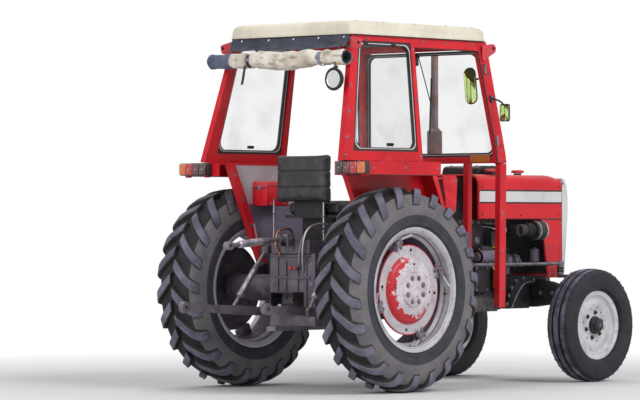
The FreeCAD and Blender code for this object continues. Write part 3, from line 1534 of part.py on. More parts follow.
def lower_links():
    """Splayed bars from the front pins to the implement balls."""
    half = s.lower_link_thick / 2
    middle = (s.link_front_x + s.link_ball_x) / 2
    plan = prism("link_plan", "xy", [[
        (s.link_front_x, -(s.link_front_y - half)), (s.link_front_x, -(s.link_front_y + half)),
        (s.link_ball_x, -(s.link_ball_y + half)), (s.link_ball_x, -(s.link_ball_y - half))]],
        s.link_front_high - 60, s.link_ball_high + 60)
    rise = s.lower_link_tall / 2
    side = prism("link_side", "xz", [[
        (s.link_front_x, s.link_front_high - 20), (s.link_front_x, s.link_front_high + 20),
        (middle, link_height(middle) + rise), (s.link_ball_x, s.link_ball_high + 20),
        (s.link_ball_x, s.link_ball_high - 20), (middle, link_height(middle) - rise)]],
        -(s.link_ball_y + 60), -(s.link_front_y - 60))
    strap = shared("link_strap", plan, side)
    front_eye = rod("link_front_eye", "y", s.lift_eye_r, -(s.link_front_y + half + 2),
                    -(s.link_front_y - half - 2), (s.link_front_x, s.link_front_high))
    wide = s.link_ball_wide / 2
    ball_eye = rod("link_ball_eye", "y", s.link_ball_wide, -(s.link_ball_y + wide),
                   -(s.link_ball_y - wide), (s.link_ball_x, s.link_ball_high))
    front_hole = rod("link_front_hole", "y", s.hitch_pin_r + s.running_gap,
                     -(s.link_front_y + wide + 5), -(s.link_front_y - wide - 5),
                     (s.link_front_x, s.link_front_high))
    ball_hole = rod("link_ball_hole", "y", s.link_ball_r, -(s.link_ball_y + wide + 5),
                    -(s.link_ball_y - wide - 5), (s.link_ball_x, s.link_ball_high))
    whole = fused("lower_link_whole", strap, front_eye, ball_eye)
    link = cut("lower_link", whole, front_hole, ball_hole)
    node("lower_link_right", link)
    mirrored("lower_link_left", link)


def top_link():
    """Screw link between the cover's ears and the implement."""
    front = (s.top_link_x, as_length(0), s.top_link_high)
    rear = (s.top_link_end_x, as_length(0), s.top_link_end_high)
    bar_body = bar("top_bar", s.top_link_r, front, rear)
    front_eye = rod("top_front_eye", "y", s.lift_eye_r, -22, as_length(22),
                    (s.top_link_x, s.top_link_high))
    rear_eye = rod("top_rear_eye", "y", s.lift_eye_r, -s.top_link_ball_wide / 2, s.top_link_ball_wide / 2,
                   (s.top_link_end_x, s.top_link_end_high))
    front_hole = rod("top_front_hole", "y", s.hitch_pin_r + s.running_gap, -40, as_length(40),
                     (s.top_link_x, s.top_link_high))
    rear_hole = rod("top_rear_hole", "y", s.top_link_ball_r, -40, as_length(40),
                    (s.top_link_end_x, s.top_link_end_high))
    sleeve = bar("top_sleeve", s.top_link_r * 1.4, part_way(front, rear, 0.35), part_way(front, rear, 0.75))
    whole = fused("top_link_whole", bar_body, sleeve, front_eye, rear_eye)
    node("top_link", cut("top_link", whole, front_hole, rear_hole))


def drive_and_drawbar():
    """Drive stub with its guard, and the drawbar under the centre housing."""
    stub = rod("pto_stub", "x", s.pto_r, s.pto_end, s.centre_rear, (0, s.pto_high))
    node("pto_shaft", group("pto_shaft", stub))

    top = box("guard_top", (s.pto_end + 20, s.centre_rear), (-s.guard_half, s.guard_half),
              (s.guard_high - 6, s.guard_high))
    sides = [box("guard_side_%d" % index, (s.pto_end + 20, s.centre_rear), (y, y + 6),
                 (s.guard_high - 90, s.guard_high))
             for index, y in enumerate((-s.guard_half, s.guard_half - 6))]
    node("pto_guard", fused("pto_guard", top, *sides))

    plate = box("drawbar_plate", (s.drawbar_end, s.centre_front), (-s.drawbar_half, s.drawbar_half),
                (s.centre_low - s.drawbar_thick, s.centre_low))
    hole = rod("drawbar_hole", "z", s.drawbar_hole_r, s.centre_low - s.drawbar_thick - 1,
               s.centre_low + 1, (s.drawbar_end + 40, 0))
    node("drawbar", cut("drawbar", plate, hole))


rear_wheels()
front_wheels()
front_axle()
steering_knuckles()
drag_links()
drop_arms()
steering_wheel()
dash(gearbox())
rear_axle()
engine()
bonnet()
nose()
exhaust()
engine_outside()
panes = cab_sides()
cab_front()
panes.append(windscreen())
node("windows", group("windows", *panes))
cab_rear()
mirrors()
roof()
curtain()
fenders()
toolbox()
floor()
seat()
controls()
lift_gear()
lower_links()
top_link()
drive_and_drawbar()

doc.recompute()

faults = []
for thing in doc.Objects:
    if "Invalid" in thing.State or "Error" in thing.State:
        faults.append("%s: %s" % (thing.Label, thing.State))
for thing in NODES:
    if thing.Shape.isNull() or not thing.Shape.isValid() or not thing.Shape.Solids:
        faults.append("%s: no sound shape" % thing.Label)
if faults:
    raise SystemExit("\n".join(faults))

os.makedirs("parts", exist_ok=True)
for thing in NODES:
    thing.Shape.exportStep("parts/%s.step" % thing.Label)
print("%d nodes" % len(NODES))
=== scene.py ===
"""Looks of a farm tractor with an open-sided cab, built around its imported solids."""

import json
import math

import bmesh
import bpy
from bpy.props import FloatProperty, FloatVectorProperty, IntProperty, PointerProperty
from mathutils import Matrix, Vector

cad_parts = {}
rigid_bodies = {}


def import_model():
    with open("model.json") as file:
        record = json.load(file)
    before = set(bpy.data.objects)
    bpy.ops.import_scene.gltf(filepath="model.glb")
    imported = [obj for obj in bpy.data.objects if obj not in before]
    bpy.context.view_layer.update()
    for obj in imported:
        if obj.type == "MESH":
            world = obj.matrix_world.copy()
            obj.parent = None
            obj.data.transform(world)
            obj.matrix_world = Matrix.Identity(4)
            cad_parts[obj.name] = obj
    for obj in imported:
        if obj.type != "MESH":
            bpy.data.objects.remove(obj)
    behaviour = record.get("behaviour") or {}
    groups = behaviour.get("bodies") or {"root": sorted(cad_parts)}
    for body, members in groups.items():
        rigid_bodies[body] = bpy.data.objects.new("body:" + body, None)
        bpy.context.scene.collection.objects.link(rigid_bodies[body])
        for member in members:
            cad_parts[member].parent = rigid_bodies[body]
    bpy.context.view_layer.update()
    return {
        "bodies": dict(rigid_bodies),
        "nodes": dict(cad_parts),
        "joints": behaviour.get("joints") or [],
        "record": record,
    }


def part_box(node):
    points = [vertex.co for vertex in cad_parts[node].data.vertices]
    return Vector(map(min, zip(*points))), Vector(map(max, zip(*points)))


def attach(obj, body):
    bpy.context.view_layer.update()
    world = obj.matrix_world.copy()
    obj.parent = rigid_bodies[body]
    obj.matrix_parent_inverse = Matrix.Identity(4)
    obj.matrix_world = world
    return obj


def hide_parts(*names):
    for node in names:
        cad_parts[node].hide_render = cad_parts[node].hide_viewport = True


bl_info = {
    "name": "Farm Tractor",
    "version": (1, 0, 0),
    "blender": (4, 5, 0),
    "location": "View3D > Sidebar > Tractor",
    "description": "Builds the looks of a farm tractor around its solids",
    "category": "Object",
}

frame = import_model()
NODES = frame["nodes"]
SLOTS = {part["node"]: part["material_slot"] for part in frame["record"]["subparts"]}

# The drawing's rear axle stands this far behind the middle of the tractor, and
# every place below is given from that axle, in metres
MIDDLE = 0.745
SIDES = (("right", -1), ("left", 1))
FORWARD, REAR = Vector((1, 0, 0)), Vector((-1, 0, 0))
LEFT, RIGHT = Vector((0, 1, 0)), Vector((0, -1, 0))
UP = Vector((0, 0, 1))

REAR_AXLE = Vector((0, 0.67, 0.63))
FRONT_AXLE = Vector((1.985, 0.62, 0.37))
CAB_LEAN = math.radians(6.67)
WAIST = 1.42165
CAB_HALF = 0.6
BONNET_HALF = 0.3

FINISHES = {}


def shade(red, green, blue):
    """A screen colour of 0 to 255 as plain light."""
    parts = [value / 255 for value in (red, green, blue)]
    return tuple(value / 12.92 if value <= 0.04045 else ((value + 0.055) / 1.055) ** 2.4
                 for value in parts)


def mixed(first, second, share):
    """A colour part of the way from the first to the second."""
    return tuple(a + (b - a) * share for a, b in zip(first, second))


# Finishes

class Finish:
    """A node material put together layer by layer."""

    def __init__(self, name, colour, roughness, metal=0.0, coat=0.0, soft_edge=0.0):
        self.name = name
        self.material = bpy.data.materials.new(name)
        self.material.use_nodes = True
        self.tree = self.material.node_tree
        self.shader = self.tree.nodes["Principled BSDF"]
        self.shader.inputs["Metallic"].default_value = metal
        self.shader.inputs["Coat Weight"].default_value = coat
        self.shader.inputs["Coat Roughness"].default_value = 0.15
        self.place = self.tree.nodes.new("ShaderNodeTexCoord").outputs["Object"]
        self.colour = (*colour, 1)
        self.roughness = roughness
        self.normal = None
        if soft_edge:
            worn = self.node("ShaderNodeBevel", Radius=soft_edge)
            worn.samples = 4
            self.normal = worn.outputs["Normal"]

    def put(self, socket, value):
        """A link or a plain number into a socket."""
        if isinstance(value, bpy.types.NodeSocket):
            self.tree.links.new(value, socket)
        else:
            socket.default_value = value

    def node(self, kind, **inputs):
        """A new node; its inputs are given by name, with _ for a space."""
        made = self.tree.nodes.new(kind)
        for name, value in inputs.items():
            self.put(made.inputs[name.replace("_", " ")], value)
        return made

    def between(self, value, low, high):
        """A number spread from 0 at low to 1 at high."""
        spread = self.node("ShaderNodeMapRange", Value=value, From_Min=low, From_Max=high)
        return spread.outputs["Result"]

    def patches(self, scale, low, high, detail=6.0, stretch=None):
        """Mask of soft patches, or of streaks where it is stretched."""
        where = self.place
        if stretch:
            where = self.node("ShaderNodeMapping", Vector=where, Scale=stretch).outputs["Vector"]
        noise = self.node("ShaderNodeTexNoise", Vector=where, Scale=scale, Detail=detail)
        return self.between(noise.outputs["Fac"], low, high)

    def weave(self, scale, direction):
        """Mask of fine threads across one direction."""
        wave = self.node("ShaderNodeTexWave", Vector=self.place, Scale=scale, Distortion=0.6)
        wave.bands_direction = direction
        return wave.outputs["Fac"]

    def part(self, vector, name):
        """One part of a vector."""
        return self.node("ShaderNodeSeparateXYZ", Vector=vector).outputs[name]

    def upward(self, low=0.35, high=0.95):
        """Mask of what faces up, where dust lies; with falling bounds, of what faces down, where
        painted shade goes.
        """
        normal = self.node("ShaderNodeNewGeometry").outputs["Normal"]
        return self.between(self.part(normal, "Z"), low, high)

    def along(self, name, low, high):
        """Mask that grows from low to high along an axis."""
        return self.between(self.part(self.place, name), low, high)

    def from_axle(self, low, high):
        """Mask that grows outward from the rear axle."""
        flat = self.node("ShaderNodeVectorMath")
        flat.operation = "MULTIPLY"
        self.put(flat.inputs[0], self.place)
        self.put(flat.inputs[1], (1, 0, 1))
        reach = self.node("ShaderNodeVectorMath")
        reach.operation = "DISTANCE"
        self.put(reach.inputs[0], flat.outputs["Vector"])
        self.put(reach.inputs[1], (-MIDDLE, 0, REAR_AXLE.z))
        return self.between(reach.outputs["Value"], low, high)

    def sum(self, first, second, kind="MULTIPLY"):
        """Two masks multiplied, or joined another way."""
        node = self.node("ShaderNodeMath")
        node.operation = kind
        node.use_clamp = True
        self.put(node.inputs[0], first)
        self.put(node.inputs[1], second)
        return node.outputs["Value"]

    def blend(self, kind, mask, first, second):
        """From the first to the second by a mask."""
        mix = self.node("ShaderNodeMix")
        mix.data_type = kind
        self.put(mix.inputs["Factor"], mask)
        self.put(mix.inputs["A"], first)
        self.put(mix.inputs["B"], second)
        return mix.outputs["Result"]

    def layer(self, mask, colour, roughness, amount=1.0):
        """Another colour and gloss where the mask says."""
        if amount != 1.0:
            mask = self.sum(mask, amount)
        self.colour = self.blend("RGBA", mask, self.colour, (*colour, 1))
        self.roughness = self.blend("FLOAT", mask, self.roughness, roughness)

    def relief(self, height, distance, strength=1.0):
        """Fine unevenness from a mask."""
        bump = self.node("ShaderNodeBump", Strength=strength, Distance=distance, Height=height)
        if self.normal:
            self.put(bump.inputs["Normal"], self.normal)
        self.normal = bump.outputs["Normal"]

    def done(self):
        """Ties the layers to the shader."""
        self.put(self.shader.inputs["Base Color"], self.colour)
        self.put(self.shader.inputs["Roughness"], self.roughness)
        if self.normal:
            self.put(self.shader.inputs["Normal"], self.normal)
        FINISHES[self.name] = self.material
        return self.material


def body_paint(name, colour, dust, chip=(0.05, 0.03, 0.03), coat=0.08, rough=0.36):
    """Old machine paint: faded patches, chips, streaks and dust, and painted shade on what faces
    down.
    """
    coat = Finish(name, colour, rough, coat=coat, soft_edge=0.003)
    coat.shader.inputs["Specular IOR Level"].default_value = 0.28
    coat.layer(coat.patches(2.4, 0.4, 0.72), mixed(colour, (0, 0, 0), 0.3), rough + 0.1)
    coat.layer(coat.patches(9, 0.58, 0.78), mixed(colour, (0.9, 0.7, 0.7), 0.05), rough + 0.2)
    coat.layer(coat.patches(16, 0.6, 0.78, stretch=(1, 1, 0.12)),
               mixed(colour, (0.12, 0.09, 0.08), 0.45), rough + 0.2, 0.55)
    lying = coat.sum(coat.upward(), coat.patches(5, 0.3, 0.72))
    coat.layer(lying, mixed(colour, shade(205, 190, 178), 0.6), 0.75, dust)
    # Painted shade: faces that look down are darkened nearly to black, standing in for the shade
    # under fenders and other overhangs.
    coat.layer(coat.upward(-0.3, -0.8), mixed(colour, (0.02, 0.015, 0.015), 0.85), 0.9, 0.9)
    low = coat.sum(coat.along("Z", 1.25, 0.45), coat.patches(7, 0.4, 0.7))
    coat.layer(low, mixed(colour, shade(150, 128, 118), 0.55), 0.8, dust)
    coat.layer(coat.patches(85, 0.715, 0.73, detail=3), chip, 0.7, 0.8)
    coat.relief(coat.patches(160, 0.35, 0.65, detail=3), 0.0004, 0.35)
    return coat.done()


def cast_iron(name, colour, dusty, dust, metal=0.0, rough=0.62):
    """Rough casting or forging, greasy and dusty in patches."""
    iron = Finish(name, colour, rough, metal=metal, soft_edge=0.004)
    iron.layer(iron.patches(6, 0.44, 0.66), mixed(colour, (0, 0, 0), 0.55), rough - 0.22)
    iron.layer(iron.patches(11, 0.5, 0.74), dusty, 0.85, dust)
    iron.layer(iron.sum(iron.upward(0.2, 0.9), iron.patches(14, 0.3, 0.65)), dusty, 0.9, dust)
    iron.layer(iron.patches(40, 0.66, 0.72), shade(120, 72, 52), 0.85, 0.5)
    iron.relief(iron.patches(55, 0.3, 0.7), 0.0018, 0.5)
    return iron.done()


def rubber(name, colour, dusty, dust, scale=12, rough=0.72):
    """Tyre or seal rubber with dust in it."""
    gum = Finish(name, colour, rough)
    gum.layer(gum.patches(scale, 0.36, 0.7), dusty, 0.9, dust)
    gum.layer(gum.patches(scale * 6, 0.52, 0.72), mixed(colour, dusty, 0.75), 0.9, dust)
    gum.relief(gum.patches(scale * 14, 0.3, 0.7), 0.0012, 0.5)
    return gum.done()


def metal_finish(name, colour, stained, rough=0.32, metal=0.85, scale=14, amount=0.8):
    """Bare or plated steel with stains."""
    steel = Finish(name, colour, rough, metal=metal, soft_edge=0.0015)
    steel.layer(steel.patches(scale, 0.46, 0.7), stained, rough + 0.3, amount)
    steel.layer(steel.patches(scale * 6, 0.62, 0.72), shade(96, 60, 44), 0.8, 0.6)
    steel.relief(steel.patches(scale * 12, 0.3, 0.7), 0.0005, 0.4)
    return steel.done()


def wheel_paint(name, colour, dirt):
    """Silver wheel paint, sprayed with mud and rust specks."""
    coat = Finish(name, colour, 0.42, metal=0.15, coat=0.1, soft_edge=0.002)
    coat.layer(coat.patches(8, 0.46, 0.74), shade(150, 138, 142), 0.6, 0.7)
    coat.layer(coat.patches(30, 0.6, 0.72), dirt, 0.85, 0.6)
    coat.layer(coat.patches(95, 0.7, 0.73, detail=3), shade(80, 40, 36), 0.8, 0.7)
    coat.relief(coat.patches(70, 0.35, 0.7), 0.0008, 0.4)
    return coat.done()


def dome_paint(name, white, red):
    """White wheel centre, red where the old paint still shows at its rear and foot."""
    coat = Finish(name, white, 0.45, coat=0.1, soft_edge=0.002)
    coat.layer(coat.patches(9, 0.44, 0.74), shade(176, 160, 164), 0.6, 0.8)
    behind = coat.along("X", 0.03 - MIDDLE, -0.1 - MIDDLE)
    below = coat.along("Z", 0.6, 0.48)
    side = coat.sum(behind, below, "MAXIMUM")
    shown = coat.sum(side, coat.from_axle(0.13, 0.185))
    torn = coat.patches(26, 0.36, 0.62, detail=8)
    edge = coat.sum(coat.sum(shown, torn), coat.sum(shown, 0.42), "ADD")
    coat.layer(coat.between(edge, 0.42, 0.56), red, 0.42)
    coat.layer(coat.patches(60, 0.6, 0.7, detail=4), shade(110, 30, 36), 0.7, 0.8)
    coat.layer(coat.patches(24, 0.6, 0.74), shade(120, 104, 100), 0.85, 0.6)
    coat.relief(coat.patches(70, 0.35, 0.7), 0.0008, 0.4)
    return coat.done()


def cloth(name, colour, stained, thread=900, sheen=0.15):
    """Woven or coated cloth, stained where it sags."""
    weave = Finish(name, colour, 0.78)
    weave.shader.inputs["Sheen Weight"].default_value = sheen
    weave.layer(weave.patches(9, 0.42, 0.72), stained, 0.85, 0.8)
    weave.layer(weave.patches(30, 0.52, 0.66, stretch=(1, 0.35, 1)), mixed(stained, (0, 0, 0), 0.3),
                0.85, 0.7)
    weave.relief(weave.weave(thread / 6.28, "Y"), 0.0003, 0.5)
    weave.relief(weave.patches(26, 0.3, 0.7), 0.004, 0.5)
    return weave.done()


def lens(name, colour, rough=0.12):
    """Ribbed plastic or glass of a lamp."""
    clear = Finish(name, colour, rough, coat=0.6)
    clear.shader.inputs["Specular IOR Level"].default_value = 0.6
    clear.layer(clear.patches(20, 0.45, 0.8), mixed(colour, shade(150, 130, 115), 0.35), 0.5, 0.7)
    clear.relief(clear.weave(60, "Y"), 0.0006, 0.5)
    return clear.done()


def clear_glass(name, colour, alpha, dusty_alpha):
    """Window glass with dust and dried drops on it."""
    pane = Finish(name, colour, 0.03)
    dust = pane.sum(pane.patches(5, 0.42, 0.85), pane.patches(90, 0.66, 0.76), "MAXIMUM")
    pane.layer(dust, shade(206, 208, 204), 0.5, 0.85)
    low = pane.along("Z", 1.75, 1.46)
    veil = pane.sum(dust, pane.sum(low, 0.5, "ADD"))
    pane.put(pane.shader.inputs["Alpha"], pane.blend("FLOAT", veil, alpha, dusty_alpha))
    return pane.done()


def make_finishes(paint, tyres, fabric):
    """Every finish of the tractor, from the panel's colours."""
    red, cream, white, silver = (tuple(getattr(paint, name)) for name in
                                 ("red", "cream", "white", "silver"))
    dust = paint.dust
    body_paint("red_paint", red, dust)
    # A lighter, pinker copy of the body red; on the filler caps' tops it stands partly for a painted
    # highlight.
    body_paint("pinker_red_and_highlight", mixed(red, shade(240, 120, 130), 0.35), dust)
    body_paint("dark_red", mixed(red, (0.02, 0, 0), 0.55), dust)
    body_paint("roof_cream", cream, dust * 0.9, chip=shade(120, 96, 70), coat=0.0, rough=0.55)
    body_paint("white_paint", white, dust * 0.7, chip=shade(90, 84, 80))
    body_paint("grey_paint", shade(206, 202, 206), dust, chip=shade(90, 84, 80), coat=0.0,
        rough=0.6)
    # Blue-grey: the starter's and a canister's own paint, and painted shade on the lower part of the
    # fenders' inner panels.
    body_paint("blue_grey_paint_and_shade", shade(128, 122, 142), dust, coat=0.0, rough=0.6)
    body_paint("orange_paint", shade(226, 128, 44), dust * 0.6)
    body_paint("yellow_paint", shade(226, 196, 60), dust * 0.6)
    body_paint("black_paint", shade(34, 33, 37), dust * 0.8, chip=shade(110, 100, 98), coat=0.1,
               rough=0.45)
    wheel_paint("silver_paint", silver, shade(140, 122, 112))
    wheel_paint("front_silver", mixed(silver, (0.9, 0.9, 0.9), 0.4), shade(150, 136, 130))
    dome_paint("dome_paint", shade(224, 214, 222), mixed(red, (0.1, 0.01, 0.02), 0.25))
    cast_iron("cast_dark", shade(104, 95, 107), shade(164, 154, 162), dust)
    cast_iron("cast_engine", shade(40, 38, 45), shade(96, 90, 98), dust)
    cast_iron("cast_black", shade(26, 25, 30), shade(84, 76, 80), dust)
    cast_iron("rusty_pipe", shade(150, 128, 130), shade(122, 84, 70), 0.8, metal=0.3, rough=0.55)
    metal_finish("steel", shade(186, 182, 190), shade(110, 102, 110))
    metal_finish("dull_steel", shade(132, 126, 136), shade(84, 74, 80), rough=0.45, metal=0.6)
    metal_finish("chrome", shade(226, 226, 230), shade(150, 148, 150), rough=0.12, metal=1.0)
    metal_finish("copper", shade(176, 120, 84), shade(96, 66, 54), rough=0.35)
    tip, wall = tuple(tyres.tip_colour), tuple(tyres.wall_colour)
    # The lug faces' bluish tone stands partly for the sky's highlight on them; their edges are a
    # darker copy, painted shade under beige dust.
    rubber("tip_rubber_and_highlight", tip, shade(146, 140, 160), 0.6, scale=9)
    rubber("edge_rubber_dust_and_shade", mixed(tip, shade(22, 21, 26), 0.6), shade(158, 148, 140), 0.6, scale=16)
    # Painted shade: near-black rubber for the lugs' sides and the tread between them, with dust on
    # it.
    rubber("gap_rubber_shade", shade(17, 17, 20), shade(58, 52, 54), 0.6, scale=14)
    rubber("rubber_wall", wall, shade(138, 130, 130), 0.65, scale=7)
    rubber("rubber_band", shade(38, 40, 50), shade(84, 80, 90), 0.5, scale=10)
    rubber("rubber_front", shade(14, 15, 21), shade(62, 60, 72), 0.45, scale=12)
    # Lighter, bluer rubber for the front ribs' flat tops: partly wear, partly a painted highlight.
    rubber("rib_rubber_and_highlight", shade(48, 48, 62), shade(150, 146, 166), 0.6, scale=12)
    rubber("rubber_seal", shade(22, 22, 25), shade(70, 68, 70), 0.5, scale=16, rough=0.5)
    rubber("mat", shade(48, 46, 50), shade(122, 112, 106), 0.7, scale=10, rough=0.85)
    rubber("plastic", shade(28, 28, 32), shade(72, 70, 72), 0.5, scale=14, rough=0.42)
    cloth("cloth_cream", tuple(fabric.roll_colour), shade(168, 146, 118))
    cloth("cloth_navy", tuple(fabric.cover_colour), shade(34, 36, 46))
    cloth("cloth_blue", shade(58, 64, 92), shade(120, 124, 150))
    cloth("strap_dark", shade(30, 30, 38), shade(60, 58, 62))
    cloth("strap_blue", shade(150, 164, 196), shade(90, 96, 120))
    vinyl = Finish("vinyl", shade(34, 33, 37), 0.42)
    vinyl.layer(vinyl.patches(14, 0.45, 0.75), shade(82, 78, 80), 0.6, 0.7)
    vinyl.relief(vinyl.patches(420, 0.35, 0.65, detail=2), 0.0005, 0.6)
    vinyl.done()
    lens("lens_amber", shade(226, 112, 36))
    lens("lens_red", shade(190, 30, 30))
    lens("lens_dark_red", shade(96, 18, 24))
    lens("lens_dark", shade(44, 26, 30))
    lens("lens_clear", shade(226, 230, 228), rough=0.08)
    clear_glass("glass", shade(120, 136, 132), 0.06, 0.24)
    # Painted reflection: the mirror is tinted yellow-green, the colour of foliage it would reflect,
    # and is not plain silver; its smudges are dirt.
    silvered = Finish("mirror_painted_green_reflection", shade(196, 224, 140), 0.05, metal=1.0)
    silvered.layer(silvered.patches(22, 0.5, 0.8), shade(150, 160, 140), 0.4, 0.6)
    silvered.done()
    core = Finish("radiator_core", shade(40, 40, 44), 0.5, metal=0.4)
    core.layer(core.weave(90, "Z"), shade(92, 90, 94), 0.5, 0.8)
    core.relief(core.weave(90, "Z"), 0.002, 0.8)
    core.done()
    # Near black: the dial faces' own black, and painted shade on the discs, blocks and rings that
    # stand in for holes and cuts.
    black_and_hole_shade = Finish("black_and_hole_shade", (0.004, 0.004, 0.005), 0.9)
    black_and_hole_shade.layer(black_and_hole_shade.patches(20, 0.4, 0.8), (0.015, 0.014, 0.014), 0.95)
    black_and_hole_shade.done()


# Forms

def smooth_line(points, steps=6):
    """A smooth line through the points."""
    points = [Vector(point) for point in points]
    whole = [points[0] * 2 - points[1]] + points + [points[-1] * 2 - points[-2]]
    line = []
    for a, b, c, d in zip(whole, whole[1:], whole[2:], whole[3:]):
        for step in range(steps):
            t = step / steps
            line.append(0.5 * (b * 2 + (c - a) * t + (a * 2 - b * 5 + c * 4 - d) * t * t
                               + (b * 3 - a - c * 3 + d) * t * t * t))
    line.append(points[-1])
    return line


def rounded_outline(corners, radius, steps=5):
    """An outline with an arc at each corner."""
    outline = []
    for index, corner in enumerate(corners):
        here = Vector(corner)
        before = (Vector(corners[index - 1]) - here).normalized()
        after = (Vector(corners[(index + 1) % len(corners)]) - here).normalized()
        half = before.angle(after) / 2
        middle = here + (before + after).normalized() * (radius / math.sin(half))
        first = here + before * (radius / math.tan(half)) - middle
        last = here + after * (radius / math.tan(half)) - middle
        for step in range(steps + 1):
            share = step / steps
            way = (first * (1 - share) + last * share).normalized()
            outline.append(tuple(middle + way * radius))
    return outline


def rectangle(low, high):
    """Four corners from the lowest and highest."""
    return [(low[0], low[1]), (high[0], low[1]), (high[0], high[1]), (low[0], high[1])]


def facing(place, across, up):
    """The frame of a flat piece, whose third direction stands out from it."""
    across = Vector(across).normalized()
    up = Vector(up).normalized()
    out = across.cross(up)
    matrix = Matrix((across, up, out)).transposed().to_4x4()
    matrix.translation = Vector(place)
    return matrix


def side_face(y):
    """Frame of an upright face that looks right: forward, up, outward."""
    return facing((0, y, 0), FORWARD, UP)


def rear_face(x):
    """Frame of an upright face that looks rearward: rightward, up, outward."""
    return facing((x, 0, 0), RIGHT, UP)


def level_face(z):
    """Frame of a level face: forward, leftward, up."""
    return facing((0, 0, z), FORWARD, LEFT)


def moved(frame, across, up, out=0.0):
    """The same frame moved along its own directions."""
    return frame @ Matrix.Translation((across, up, out))


def spots(frame, pairs, out=0.0):
    """Places on a face, from pairs of its own measures."""
    return [frame @ Vector((across, up, out)) for across, up in pairs]


def around(centre, across, radius, count, start=0.0):
    """Even places on an upright circle, from its top towards one side."""
    turns = [start + step * math.tau / count for step in range(count)]
    return [Vector(centre) + (across * math.sin(turn) + UP * math.cos(turn)) * radius
            for turn in turns]


def wheel_frame(centre, side, angle):
    """Frame on a wheel at an angle from its top: across, outboard along the axle, outward."""
    c, s = math.cos(angle), math.sin(angle)
    matrix = Matrix(((c, 0, -s), (0, side, 0), (s, 0, c))).transposed().to_4x4()
    matrix.translation = centre
    return matrix


def mirrored(point, side):
    """A right-hand place, or the same on the left."""
    return Vector((point[0], -point[1] * side, point[2]))


